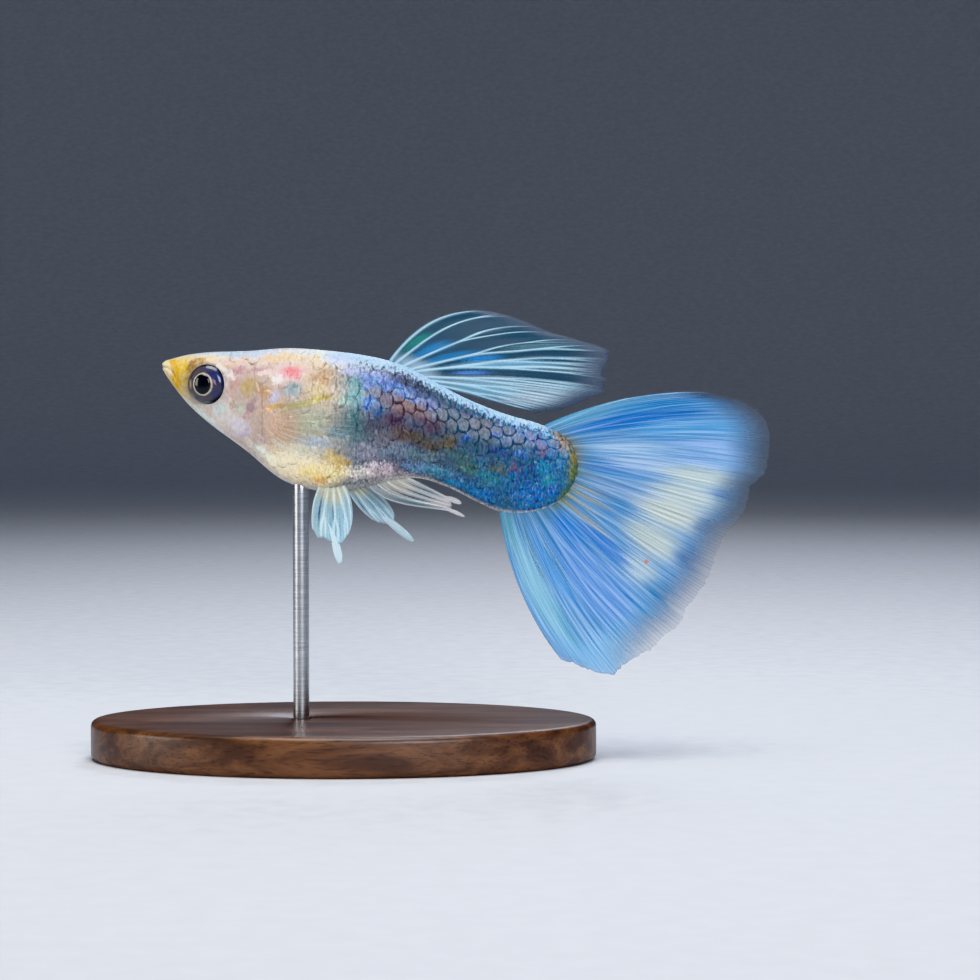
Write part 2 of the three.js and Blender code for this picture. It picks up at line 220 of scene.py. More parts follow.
def head_relief(points):
    """How far the skin stands out, in mm, for the mouth, lips, nostrils, eye sockets and gill covers."""
    away, along, side = distance_to_line(points, GILL_EDGE)
    fade = ease(along, 0.0, 0.12) * (1 - ease(along, 0.9, 1.0))
    gill_cover = 0.03 * np.exp(-away / 0.9)
    relief = np.where(side < 0, gill_cover, groove(away, depth=0.085, width=0.28)) * fade
    away, along, _ = distance_to_line(points, CHEEK_EDGE)
    fade = ease(along, 0.0, 0.2) * (1 - ease(along, 0.8, 1.0))
    relief += groove(away, depth=0.045, width=0.14) * fade
    away, along, _ = distance_to_line(points, MOUTH_LINE)
    relief += groove(away, depth=0.13, width=0.07) * (1 - ease(along, 0.85, 1.0))
    relief += groove(away - 0.2, depth=-0.045, width=0.12) * (1 - ease(along, 0.7, 1.0))
    away, along, _ = distance_to_line(points, LIP_FOLD)
    relief += groove(away, depth=0.05, width=0.07) * (1 - ease(along, 0.75, 1.0)) * ease(along, 0.0, 0.15)
    away, along, _ = distance_to_line(points, JAW_FOLD)
    relief += groove(away, depth=0.035, width=0.09) * (1 - ease(along, 0.6, 1.0))
    away = np.hypot(points[..., 0] - NOSTRIL[0], points[..., 2] - NOSTRIL[1])
    relief += groove(away, depth=0.09, width=0.11) + groove(away - 0.2, depth=-0.03, width=0.08)
    away = np.hypot(points[..., 0] - EYE_PLACE[0] + SOCKET_AHEAD, points[..., 2] - EYE_PLACE[2])
    socket = SOCKET_DEPTH * (1 - ease(away, 0.9, EYE_RADIUS - 0.02))
    relief += groove(away - SOCKET_RIM, depth=-0.05, width=0.13) - socket
    return relief


SKIN_ROUND = 144
HEAD_RINGS = 150
BODY_RINGS = 130
HEAD_SHARE = 0.345  # the gill covers end at this share of the rails
FIRST_RING = 0.0008
LAST_RING = 0.9985

shares = np.concatenate(
    [
        FIRST_RING + (HEAD_SHARE - FIRST_RING) * np.linspace(0, 1, HEAD_RINGS) ** 1.25,
        HEAD_SHARE + (LAST_RING - HEAD_SHARE) * (1 - (1 - np.linspace(0, 1, BODY_RINGS + 1)[1:]) ** 1.15),
    ]
)
turns = np.linspace(0, 2 * math.pi, SKIN_ROUND, endpoint=False)
share_grid, turn_grid = np.meshgrid(shares, turns, indexing="ij")
skin_points = body_surface(share_grid, turn_grid)
skin_normals = surface_normal(share_grid, turn_grid)
on_head = 1 - ease(share_grid, HEAD_SHARE, HEAD_SHARE + 0.06)
mid_line = np.abs(np.sin(turn_grid)) ** 0.5  # the relief eases off at the back and belly lines
skin_points += skin_normals * (head_relief(skin_points) * on_head * mid_line)[..., None]
tip, root = body_surface(np.array([0.0, 1.0]), np.array([0.0, 0.0]))
points = np.vstack([skin_points.reshape(-1, 3), tip + [COAT_DEPTH * 0.4, 0, 0], root])
place_on_body = np.stack([share_grid, np.abs(turn_grid / math.pi - 1)], -1).reshape(-1, 2)
place_on_body = np.vstack([place_on_body, [[0, 1], [1, 1]]])
skin = new_piece("skin", points, closed_tube(len(shares), SKIN_ROUND), uvs=[("BodyPlace", place_on_body)])


def hex_colour(text):
    """An sRGB hex colour as linear red, green, blue and alpha."""
    parts = [int(text[i : i + 2], 16) / 255 for i in (1, 3, 5)]
    return [c / 12.92 if c <= 0.04045 else ((c + 0.055) / 1.055) ** 2.4 for c in parts] + [1.0]


def add_node(tree, kind, settings=(), links=(), **values):
    """One shader node: its settings, links into its inputs, and its input values by name or, as _1, by
    number. A link comes from a socket, or from a node's first output."""
    made = tree.nodes.new("ShaderNode" + kind)
    for name, value in dict(settings).items():
        setattr(made, name, value)
    for name, value in values.items():
        made.inputs[int(name[1:]) if name[1:].isdigit() else name.replace("_", " ")].default_value = value
    for name, source in dict(links).items():
        tree.links.new(source if hasattr(source, "is_output") else source.outputs[0], made.inputs[name])
    return made


# Settings that many nodes share.
SOFT = {"interpolation_type": "SMOOTHSTEP"}
COLOURS = {"data_type": "RGBA"}
ADD = {"operation": "ADD"}
SUBTRACT = {"operation": "SUBTRACT"}
MULTIPLY = {"operation": "MULTIPLY"}
MULTIPLY_ADD = {"operation": "MULTIPLY_ADD"}
LENGTH = {"operation": "LENGTH"}


def paint(tree, colour, where, patches):
    """Soft oval patches laid over a colour in order. Each is its centre along and up, its half length and
    half height, its tilt in degrees, its strength and its colour."""
    for along, up, long, high, tilt, strength, tint in patches:
        turned = add_node(
            tree, "Mapping", {"vector_type": "TEXTURE"}, {"Vector": where}, Location=(along, 0, up),
            Rotation=(0, math.radians(-tilt), 0), Scale=(long * 1.15, 1e4, high * 1.15),
        )
        near = add_node(tree, "TexGradient", {"gradient_type": "SPHERICAL"}, {0: turned})
        cover = add_node(
            tree, "MapRange", SOFT, {"Value": near.outputs["Fac"]}, From_Max=0.74, To_Max=strength
        )
        blend = add_node(tree, "Mix", COLOURS, {0: cover, 6: colour}, _7=hex_colour(tint))
        colour = blend.outputs[2]
    return colour


def fish_places(tree):
    """Object coordinates as fish millimetres."""
    coordinates = add_node(tree, "TexCoord")
    places = add_node(
        tree, "Mapping", links={"Vector": coordinates.outputs["Object"]},
        Location=tuple(-SNOUT / MM), Scale=(1 / MM,) * 3,
    )
    return places


def shake(tree, places, noise, reach):
    """Places moved about by a noise's colour, by up to about half of reach, so that edges wander."""
    centred = add_node(tree, "VectorMath", SUBTRACT, {0: noise.outputs["Color"]}, _1=(0.5, 0.5, 0.5))
    moved = add_node(tree, "VectorMath", MULTIPLY_ADD, {0: centred, 2: places}, _1=reach)
    return moved


def new_material(name, **values):
    """A new material, its tree and its shader with its constant values, named as in add_node."""
    material = bpy.data.materials.new(name)
    material.use_nodes = True
    shader = material.node_tree.nodes["Principled BSDF"]
    for label, value in values.items():
        shader.inputs[label.replace("_", " ")].default_value = value
    return material, material.node_tree, shader


def colour_ramp(tree, factor, stops):
    """A colour ramp through (place, hex) stops."""
    ramp = add_node(tree, "ValToRGB", links={"Fac": factor})
    elements = ramp.color_ramp.elements
    while len(elements) < len(stops):
        elements.new(0.5)
    for element, (at, tint) in zip(elements, stops):
        element.position = at
        element.color = hex_colour(tint)
    return ramp.outputs["Color"]


# Places are back from the snout and up, in mm, then half length, half height, tilt, strength and colour.
HEAD_PATCHES = [
    (4.2, -3.2, 3.6, 1.5, -40, 0.8, "#d8d1cb"),
    (3.6, -4.2, 3.2, 0.35, -42, 0.9, "#d4e4de"),
    # Pale crown: partly the head's own pale colour and partly painted highlight, where light from above
    # falls on the top of the head.
    (5.2, 0.95, 3.6, 0.4, 0, 0.9, "#a9b3b8"),
    (7.2, 0.95, 2.0, 0.35, 0, 0.8, "#b4b7c2"),
    (0.2, -0.1, 0.6, 0.65, 0, 0.95, "#e6dcb6"),
    (0.5, -0.6, 0.35, 0.5, -40, 0.8, "#e2cdb0"),
    (1.7, -0.6, 0.75, 1.7, 0, 0.95, "#d9b94e"),
    (1.12, -0.72, 0.5, 1.7, 5, 1.0, "#cc9f00"),
    (1.12, -0.5, 0.4, 1.2, 5, 1.0, "#d0a400"),
    (2.38, 0.0, 0.75, 0.3, 48, 0.95, "#a9780a"),
    (3.05, 0.32, 0.5, 0.2, 8, 0.8, "#b98f2e"),
    (3.6, 0.62, 1.5, 0.22, 3, 0.8, "#e2cd9e"),
    (4.55, -0.3, 0.3, 0.7, 25, 0.85, "#ece6d6"),
    (4.95, -1.3, 0.28, 0.8, 0, 0.8, "#dfd6cf"),
    (5.25, -0.72, 0.45, 0.3, 0, 0.8, "#efe6e4"),
    (5.7, 0.2, 1.2, 0.35, 5, 0.7, "#cfa98a"),
    (5.85, -0.3, 0.6, 0.28, 12, 0.85, "#ad7f8a"),
    (7.2, -0.28, 1.3, 0.16, 8, 0.8, "#b1848c"),
    (7.9, -0.5, 0.7, 0.3, 0, 0.7, "#ead6d2"),
    (5.65, -1.25, 0.5, 0.45, 0, 0.65, "#bf8f88"),
    (5.3, -1.9, 0.35, 0.8, 0, 0.7, "#cba394"),
    (6.75, -1.35, 0.9, 0.55, 15, 0.8, "#b1985c"),
    (6.5, -1.95, 0.6, 0.5, 0, 0.7, "#b8a068"),
    (7.5, -1.75, 0.8, 0.6, 20, 0.7, "#b08c5e"),
    (4.45, -3.2, 0.55, 0.6, -30, 0.6, "#b9d4d0"),
    (6.05, -3.05, 0.5, 0.5, 0, 0.7, "#bccab4"),
    # A thin brown line just behind the cheek's edge: partly its own colour and partly painted shade in the
    # crease.
    (5.55, -2.9, 0.16, 0.6, 0, 0.7, "#a8957a"),
    (6.75, -3.1, 1.0, 0.3, 55, 0.8, "#9a7884"),
    (6.45, -3.7, 0.35, 0.3, 0, 0.7, "#c8959a"),
    (3.6, -3.5, 0.5, 0.4, -40, 0.6, "#c9baa8"),
    (5.8, -4.5, 1.1, 0.8, -30, 0.75, "#d0cbd8"),
    (6.3, -5.1, 0.6, 0.3, 60, 0.7, "#b3a8cc"),
    (7.7, -3.4, 0.7, 0.7, 0, 0.6, "#caa890"),
    # A thin mauve line along the gill cover's edge: partly its own colour and partly painted shade in the
    # crease.
    (7.35, -5.3, 0.5, 0.14, -45, 0.8, "#b08fa6"),
    (6.9, -6.0, 0.9, 0.5, -40, 0.7, "#ddd6ca"),
    (3.3, -1.35, 2.0, 2.05, 0, 0.75, "#463f48"),
]
TRUNK_PATCHES = [
    (8.6, 0.6, 1.6, 0.35, 8, 0.7, "#d8b680"),
    (9.6, 0.75, 1.5, 0.35, 0, 0.7, "#d5b676"),
    (11.7, 0.8, 0.6, 0.4, 0, 0.8, "#ddbf72"),
    (13.4, 0.5, 1.6, 0.5, -3, 0.8, "#c3cbea"),
    (9.7, -0.55, 1.5, 0.9, 10, 0.8, "#e8c9cc"),
    (9.86, -0.43, 0.95, 0.55, 12, 0.85, "#e67f84"),
    (8.74, -0.95, 0.6, 0.4, 10, 0.85, "#f2eae8"),
    (9.95, -1.8, 1.1, 0.75, 25, 0.8, "#97a8ae"),
    (10.1, -1.6, 0.4, 0.25, 30, 0.7, "#64868f"),
    (7.9, -2.0, 0.7, 0.6, 0, 0.65, "#b58c62"),
    (8.57, -2.3, 0.6, 0.5, 20, 0.75, "#bcc0da"),
    (12.1, -0.9, 1.0, 0.8, 0, 0.8, "#b0906a"),
    (11.9, -1.8, 1.1, 0.5, 0, 0.7, "#c6b388"),
    (12.9, -1.6, 0.8, 0.7, 0, 0.6, "#a8978c"),
    (11.0, -2.7, 2.6, 0.35, 14, 0.85, "#b7aa46"),
    (8.6, -3.0, 0.8, 0.3, 14, 0.8, "#d2a438"),
    (9.0, -4.8, 1.4, 2.0, 0, 0.7, "#d2ad8c"),
    (11.2, -4.2, 1.6, 1.1, 0, 0.7, "#b9bd9a"),
    (11.6, -5.7, 1.8, 0.6, -8, 0.7, "#b3bfd0"),
    (7.9, -6.7, 1.6, 0.6, -40, 0.85, "#dcebe4"),
    # Cream belly: its own colour, painted paler than it is to lift the shade on the downward-facing belly,
    # so partly painted light.
    (10.3, -7.4, 3.4, 1.9, -15, 0.95, "#f8ecc8"),
    (12.7, -6.8, 0.9, 0.6, 0, 0.75, "#dcbc58"),
    (13.5, -7.15, 0.8, 0.6, 0, 0.7, "#d2ac46"),
    # The pale yellow-cream low on the belly, likewise painted paler to lift its shade: partly painted light.
    (11.3, -7.9, 1.6, 0.8, 0, 0.9, "#fae39c"),
    (13.0, -7.9, 1.6, 0.8, 0, 0.9, "#f8e4a8"),
    (11.85, -8.5, 0.6, 0.4, 0, 0.8, "#eeb04a"),
    (15.0, -8.0, 1.6, 0.7, 0, 0.9, "#ece6da"),
    (14.6, -1.5, 0.8, 1.0, 0, 0.75, "#6a9c9c"),
    (13.9, -2.5, 0.7, 0.7, 0, 0.7, "#8ab4a4"),
    (14.8, -2.4, 0.7, 0.9, 10, 0.75, "#3f8486"),
    (14.3, -4.0, 1.2, 1.3, 0, 0.85, "#3c6468"),
    (13.2, -5.0, 1.0, 0.6, 0, 0.7, "#5f8e9c"),
    (14.6, -5.0, 1.2, 0.8, 0, 0.8, "#4a6a72"),
    (14.2, -0.4, 1.0, 0.5, 0, 0.8, "#a9b0d4"),
    (16.0, -0.7, 1.6, 0.5, -8, 0.8, "#8d9ed0"),
    (15.7, -1.2, 1.0, 0.6, 0, 0.85, "#5c84c4"),
    (17.2, -1.5, 1.3, 0.55, -15, 0.85, "#5680c6"),
    (18.6, -2.1, 1.2, 0.5, -22, 0.85, "#5577b4"),
    (19.9, -2.7, 1.2, 0.5, -25, 0.8, "#5a6ca4"),
    (16.1, -4.4, 1.3, 1.1, 0, 0.85, "#46485a"),
    (15.5, -2.7, 0.9, 0.7, 0, 0.95, "#1f66b0"),
    (16.2, -3.4, 0.9, 0.7, 0, 0.85, "#2c527e"),
    (16.8, -2.3, 0.6, 0.5, 0, 0.8, "#4a3658"),
    (18.0, -2.95, 1.2, 0.75, -15, 0.85, "#5e3c3a"),
    (19.2, -3.5, 1.5, 0.8, -20, 0.85, "#5c4042"),
    (17.4, -4.0, 1.0, 0.8, 0, 0.8, "#4c3548"),
    (17.2, -5.4, 1.6, 0.9, 0, 0.85, "#74747e"),
    (18.2, -5.0, 1.3, 0.7, -8, 0.85, "#5c4c42"),
    (19.4, -5.4, 1.3, 0.7, -8, 0.85, "#575144"),
    (20.3, -4.3, 1.3, 0.8, -20, 0.9, "#523649"),
    (15.4, -6.4, 1.4, 0.7, 0, 0.85, "#9494a4"),
    (17.6, -6.4, 1.8, 0.7, 0, 0.85, "#74879a"),
    (19.6, -6.7, 1.6, 0.6, -5, 0.8, "#64808c"),
    (16.4, -7.6, 1.4, 0.6, 0, 0.9, "#dccad2"),
    (17.0, -8.3, 3.6, 0.5, 0, 0.85, "#bdb6b8"),
    (19.0, -7.5, 1.6, 0.45, -5, 0.8, "#6f9cc2"),
]
STALK_PATCHES = [
    (24.5, -5.6, 5.5, 1.5, -22, 0.8, "#2c4456"),
    (24.6, -4.6, 3.2, 0.6, -24, 0.75, "#484e5c"),
    (21.4, -5.7, 0.9, 0.8, 0, 0.8, "#5e5030"),
    (20.2, -6.1, 1.1, 0.5, 0, 0.8, "#55472c"),
    (22.2, -6.6, 1.6, 0.6, -15, 0.75, "#3f5f62"),
    (22.8, -5.3, 0.5, 0.4, 0, 0.95, "#0f4f92"),
    (23.5, -5.8, 0.4, 0.35, 0, 0.85, "#15505e"),
    (24.9, -5.1, 0.5, 0.35, 0, 0.9, "#164a92"),
    (25.7, -5.5, 0.55, 0.4, 0, 0.9, "#145592"),
    (25.2, -6.3, 1.0, 0.35, -15, 0.9, "#124a86"),
    (26.8, -6.6, 0.8, 0.45, -10, 0.95, "#0b60ac"),
    (28.0, -5.6, 0.9, 0.6, -30, 0.85, "#4b5182"),
    (28.6, -6.3, 0.6, 0.5, 0, 0.8, "#66597a"),
    (26.4, -7.5, 0.6, 0.4, -30, 0.8, "#6a4a68"),
    (25.2, -7.6, 1.0, 0.4, -20, 0.85, "#5f6440"),
    (23.0, -7.6, 1.6, 0.6, -20, 0.8, "#4a6c62"),
    (20.6, -7.9, 1.6, 0.5, -10, 0.85, "#4f8fa8"),
    (24.4, -8.3, 1.5, 0.7, -20, 0.85, "#2a7688"),
    (22.0, -8.7, 1.6, 0.5, -22, 0.85, "#2f80b4"),
    (24.0, -9.6, 1.6, 0.55, -24, 0.9, "#1272b4"),
    (27.3, -8.2, 0.9, 0.9, 0, 0.9, "#124a80"),
    (27.3, -9.7, 1.4, 1.0, 10, 0.9, "#0f68b0"),
    (28.7, -9.3, 0.9, 0.8, 30, 0.9, "#0c64a8"),
    (28.9, -8.5, 0.7, 0.6, 30, 0.9, "#0c8296"),
    (28.5, -7.7, 0.8, 0.5, 0, 0.9, "#0c7ca6"),
    (29.9, -7.4, 0.7, 0.6, 0, 0.85, "#0e6c9e"),
    (25.8, -10.3, 1.0, 0.45, -20, 0.8, "#3c6878"),
    (29.6, -4.9, 0.7, 0.25, -40, 0.85, "#8a7038"),
    (30.0, -5.5, 0.75, 1.0, 38, 0.9, "#7d6024"),
    (30.75, -6.7, 0.6, 1.0, 10, 0.9, "#7c6a28"),
    (30.8, -8.1, 0.6, 1.0, -5, 0.85, "#66702c"),
    (30.2, -9.6, 0.6, 1.1, -45, 0.8, "#4c6a44"),
    (28.6, -10.9, 1.3, 0.3, 0, 0.85, "#5a6640"),
]


# Pigment cells show as upright flecks, drawn a little coarser than life so that they show. Sizes are in mm.
FLECK_WIDE = 0.15
FLECK_TALL = 0.3
FLECK_LEAN = math.radians(10)
CLOUD_SIZE = 0.8
PALE_FRONT = 8.0
DARK_REAR = 16.0


def skin_material():
    """Living fish skin: clear slime over silver, yellow, red and black pigment cells. It is glossy, and
    every colour is broken into fine upright flecks, weak on the pale head and strong on the dark rear."""
    material, tree, shader = new_material(
        "wet scaled fish skin", IOR=1.38, Coat_Weight=0.25, Coat_Roughness=0.15
    )
    place = fish_places(tree)
    fleck_place = add_node(
        tree, "Mapping", links={"Vector": place},
        Scale=(1 / FLECK_WIDE, 1 / FLECK_TALL, 1 / FLECK_TALL), Rotation=(0, FLECK_LEAN, 0),
    )
    flecks = add_node(
        tree, "TexNoise", links={"Vector": fleck_place}, Scale=1.0, Detail=2.5, Roughness=0.62
    )
    cloud = add_node(
        tree, "TexNoise", links={"Vector": place}, Scale=1 / CLOUD_SIZE, Detail=5.0, Roughness=0.68
    )
    wandering = shake(tree, place, cloud, (1.7, 0.0, 1.5))
    flecked = shake(tree, wandering, flecks, (1.5, 0.0, 1.7))
    split = add_node(tree, "SeparateXYZ", links={0: wandering})
    rear = add_node(
        tree, "MapRange", SOFT, {"Value": split.outputs["X"]}, From_Min=PALE_FRONT, From_Max=DARK_REAR
    )
    # On the pale front the flecks move the colours less than on the rear.
    looseness = add_node(tree, "MapRange", links={"Value": rear}, To_Min=0.3)
    where = add_node(tree, "Mix", {"data_type": "VECTOR"}, {0: looseness, 4: wandering, 5: flecked})
    along = add_node(tree, "Math", {"operation": "DIVIDE"}, {0: split.outputs["X"]}, _1=32.0)
    body = colour_ramp(
        tree, along,
        [
            (0.0, "#d8b648"), (0.08, "#c9b690"), (0.17, "#bba79d"), (0.28, "#bfaa9b"), (0.38, "#c0ae92"),
            (0.45, "#75828c"), (0.55, "#4c5068"), (0.66, "#42586e"), (0.8, "#245f8c"), (0.92, "#0f629a"),
            (1.0, "#5a7a50"),
        ],
    )
    body = paint(tree, body, where.outputs[1], HEAD_PATCHES + TRUNK_PATCHES + STALK_PATCHES)
    around = add_node(tree, "UVMap", {"uv_map": "BodyPlace"})
    height = add_node(tree, "SeparateXYZ", links={0: around})
    # An ice-blue band runs along the back, its lower edge broken by the flecks. It is partly the back's own
    # pale colour and partly painted highlight, where light from above falls on the back.
    fringed = add_node(
        tree, "Math", MULTIPLY_ADD, {0: flecks.outputs["Fac"], 2: height.outputs["Y"]}, _1=0.22
    )
    band = add_node(tree, "MapRange", SOFT, {"Value": fringed}, From_Min=0.89, From_Max=1.02)
    band_along = add_node(
        tree, "MapRange", SOFT, {"Value": split.outputs["X"]},
        From_Min=10.0, From_Max=16.0, To_Min=0.3, To_Max=0.95,
    )
    band_end = add_node(
        tree, "MapRange", SOFT, {"Value": split.outputs["X"]},
        From_Min=27.5, From_Max=30.0, To_Min=1.0, To_Max=0.1,
    )
    band_length = add_node(tree, "Math", MULTIPLY, {0: band_end, 1: band_along})
    back_band_and_highlight_cover = add_node(tree, "Math", MULTIPLY, {0: band, 1: band_length})
    with_back_band_and_highlight = add_node(tree, "Mix", COLOURS, {0: back_band_and_highlight_cover, 6: body}, _7=hex_colour("#b4dcf8"))
    # A pale line runs along the belly's keel.
    keel = add_node(
        tree, "MapRange", SOFT, {"Value": height.outputs["Y"]},
        From_Min=0.06, From_Max=0.14, To_Min=0.75, To_Max=0.0,
    )
    keeled = add_node(tree, "Mix", COLOURS, {0: keel, 6: with_back_band_and_highlight.outputs[2]}, _7=hex_colour("#c9c4c0"))
    # Light and dark flecks, and a drift of hue from fleck to fleck.
    contrast = add_node(tree, "MapRange", links={"Value": rear}, To_Min=0.7, To_Max=2.8)
    centred = add_node(tree, "Math", SUBTRACT, {0: flecks.outputs["Fac"]}, _1=0.5)
    value = add_node(tree, "Math", MULTIPLY_ADD, {0: centred, 1: contrast}, _2=1.0)
    hues = add_node(tree, "SeparateXYZ", links={0: flecks.outputs["Color"]})
    hue_reach = add_node(tree, "MapRange", links={"Value": rear}, To_Min=0.05, To_Max=0.2)
    hue_centred = add_node(tree, "Math", SUBTRACT, {0: hues.outputs["Y"]}, _1=0.5)
    hue = add_node(tree, "Math", MULTIPLY_ADD, {0: hue_centred, 1: hue_reach}, _2=0.5)
    saturation = add_node(
        tree, "MapRange", links={"Value": hues.outputs["Z"]},
        From_Min=0.3, From_Max=0.7, To_Min=0.7, To_Max=1.2,
    )
    # Painted light: each scale's rim is painted lighter to offset the real shadow lines under the raised
    # scale edges. scale_shade is each scale's own random tone.
    edge = add_node(tree, "Attribute", {"attribute_name": "scale_edge_light"})
    shade = add_node(tree, "Attribute", {"attribute_name": "scale_shade"})
    scale_tone_and_edge_light = add_node(
        tree, "Math", MULTIPLY_ADD, {0: edge.outputs["Fac"], 2: shade.outputs["Fac"]}, _1=0.08
    )
    all_values = add_node(tree, "Math", ADD, {0: value, 1: scale_tone_and_edge_light})
    final = add_node(
        tree, "HueSaturation",
        links={"Hue": hue, "Saturation": saturation, "Value": all_values, "Color": keeled.outputs[2]},
    )
    tree.links.new(final.outputs["Color"], shader.inputs["Base Color"])
    gloss = add_node(
        tree, "MapRange", links={"Value": flecks.outputs["Fac"]},
        From_Min=0.3, From_Max=0.7, To_Min=0.55, To_Max=0.34,
    )
    tree.links.new(gloss.outputs[0], shader.inputs["Roughness"])
    mirror = add_node(tree, "MapRange", links={"Value": rear}, To_Min=0.0, To_Max=0.12)
    tree.links.new(mirror.outputs[0], shader.inputs["Metallic"])
    grain = add_node(tree, "Bump", links={"Height": flecks.outputs["Fac"]}, Strength=0.3, Distance=0.00002)
    tree.links.new(grain.outputs[0], shader.inputs["Normal"])
    return material


fish_skin = skin_material()
skin.data.materials.append(fish_skin)
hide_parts("head", "lower_jaw", "trunk", "tail_stalk")
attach(skin, "root")


# The scales.
# Thin round-edged plates of clear bone grow from pockets in the skin in slanting rows, each over the roots
# of the next, from the nape to the tail fin. About 27 stand in a row along the side.
SCALE_PITCH = 0.86
SCALE_LENGTH = 1.35
SCALES_ROUND = 20
SCALE_HALF_WIDTH = 0.66  # as a share of the step from row to row, so neighbours overlap
SCALE_THICK = 0.006
SCALE_ROOT_LIFT = 0.005
SCALE_EDGE_LIFT = 0.007
SCALE_ACROSS = 7
SCALE_ALONG = 7
SCALE_POINTS = SCALE_ACROSS * SCALE_ALONG
SHOULDER = 0.4  # a scale is rounded from this share of its length
SMALL_SCALES = 4  # scales grow to full size over this length behind the nape
FIRST_COLUMN = 5.2
LAST_COLUMN_SHORT = 0.35  # the last column's roots stay this far from the tail's root
LAST_SHARE = 0.9965
NAPE = 4.9  # no scale starts in front of this, nor on the gill covers
GILL_COVER_TOP = 0.35
GILL_COVER_BACK = 8.2


def shell_faces(rows, columns):
    """Faces of a closed thin shell: an outer grid of points, an inner one like it, and the rim."""
    spots = np.arange(rows * columns).reshape(rows, columns)
    rim = np.concatenate([spots[0, :], spots[1:, -1], spots[-1, -2::-1], spots[-2:0:-1, 0]])
    after = np.roll(rim, -1)
    rim_faces = np.stack([rim, after, after + spots.size, rim + spots.size], -1)
    sheet = grid_faces(rows, columns)
    return np.vstack([sheet[:, ::-1], sheet + spots.size, rim_faces])


fine = np.linspace(0, 1, 600)
flank_line = smooth_curve([s[1] for s in STATIONS], fine)
flank_length = np.concatenate([[0], np.cumsum(np.linalg.norm(np.diff(flank_line, axis=0), axis=1))])
first_column = np.interp(FIRST_COLUMN, flank_line[:, 0], flank_length)
dice = np.random.default_rng(27)
scale_grid = (np.linspace(-1, 1, SCALE_ACROSS), np.linspace(0, 0.985, SCALE_ALONG))
across, along = np.meshgrid(*scale_grid, indexing="ij")
round_end = np.sqrt(np.clip(1 - ((along - SHOULDER) / (1 - SHOULDER)) ** 2, 0, 1))
half_width = np.where(along > SHOULDER, round_end, 0.72 + 0.7 * along)
# How near each place lies to the scale's rim, where the skin material paints light.
edge_light_mask = np.maximum(ease(along, 0.72, 0.98), ease(np.abs(across), 0.75, 1.0) * (along > 0.3)).ravel()
one_scale = shell_faces(SCALE_ACROSS, SCALE_ALONG)
turn_step = 2 * math.pi / SCALES_ROUND
column = 0
root_length = first_column
made_scales = []
while root_length < flank_length[-1] - LAST_COLUMN_SHORT:
    grown = ease(root_length, first_column, first_column + SMALL_SCALES)
    for row in range(SCALES_ROUND):
        root_turn = (row + 0.5 * (column % 2)) * turn_step
        root_share = float(np.interp(root_length, flank_length, fine))
        root_point = body_surface(np.array([root_share]), np.array([root_turn]))[0]
        _, _, side = distance_to_line(root_point[None], GILL_EDGE)
        on_gill_cover = side[0] < 0 and root_point[2] < GILL_COVER_TOP and root_point[0] < GILL_COVER_BACK
        if root_point[0] < NAPE or on_gill_cover:
            continue
        length = SCALE_LENGTH * (0.75 + 0.25 * grown)
        share = np.minimum(np.interp(root_length + (along - 0.2) * length, flank_length, fine), LAST_SHARE)
        turn = root_turn + across * half_width * turn_step * SCALE_HALF_WIDTH
        tilt = dice.normal(0, 0.02)
        lift = SCALE_ROOT_LIFT + SCALE_EDGE_LIFT * along**1.1 * (1 - 0.3 * across**2)
        lift = lift + tilt * across * along * 0.12
        ground = body_surface(share, turn)
        normal = surface_normal(share, turn)
        top = ground + normal * lift[..., None]
        bottom = ground + normal * (lift - SCALE_THICK)[..., None]
        patch_across = root_turn / (2 * math.pi) + across * 0.0015
        patch = np.stack([root_share + along * 0.003, patch_across], -1).reshape(-1, 2)
        spot = np.stack([share, np.abs(((turn / math.pi) % 2) - 1)], -1).reshape(-1, 2)
        made_scales.append(
            {
                "points": np.vstack([top.reshape(-1, 3), bottom.reshape(-1, 3)]),
                "faces": one_scale + len(made_scales) * 2 * SCALE_POINTS,
                "OFBake": np.tile(patch, (2, 1)),
                "BodyPlace": np.tile(spot, (2, 1)),
                "scale_edge_light": np.tile(edge_light_mask, 2),
                "scale_shade": np.full(2 * SCALE_POINTS, dice.normal(0, 0.035)),
            }
        )
    column += 1
    root_length += SCALE_PITCH * (0.8 + 0.2 * grown)
coat = {label: np.concatenate([made[label] for made in made_scales]) for label in made_scales[0]}
scales = new_piece(
    "scales",
    coat["points"],
    coat["faces"],
    uvs=[(label, coat[label]) for label in ("OFBake", "BodyPlace")],
    values=[(label, coat[label]) for label in ("scale_edge_light", "scale_shade")],
)
# The thin rims are shaded flat, so that the faces of the scales stay smooth up to their edges.
on_face = np.arange(len(one_scale)) < 2 * (SCALE_ACROSS - 1) * (SCALE_ALONG - 1)
scales.data.polygons.foreach_set("use_smooth", np.tile(on_face, len(made_scales)))
scales.data.materials.append(fish_skin)
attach(scales, "root")


# The eyes.
# Each is a flattened ball set in a ring of skin: a bulging black lens in the pupil, a narrow bright ring
# round it, and a dark blue iris, all under a clear wet cornea.
EYE_TURNS = 96
EYE_RINGS = 44
PUPIL = 0.6
PUPIL_FORWARD = 0.17  # the pupil sits ahead of the eye's middle
PUPIL_TALLER = 0.2
LENS_BULGE = 0.05
FACE_SUNK = 0.06  # room for the lens inside the solid eye


def eye_profile(radius):
    """Height of the eye's face above its middle plane, in mm, by distance from its axis."""
    dome = EYE_DEPTH * np.sqrt(np.clip(1 - (radius / EYE_RADIUS) ** 2, 0, 1))
    lens = LENS_BULGE * np.sqrt(np.clip(1 - (radius / PUPIL) ** 2, 0, 1))
    iris = -LENS_BULGE * ease(radius, PUPIL - 0.02, PUPIL + 0.04) * (1 - ease(radius, 0.9, 1.25))
    return dome - FACE_SUNK + lens + iris


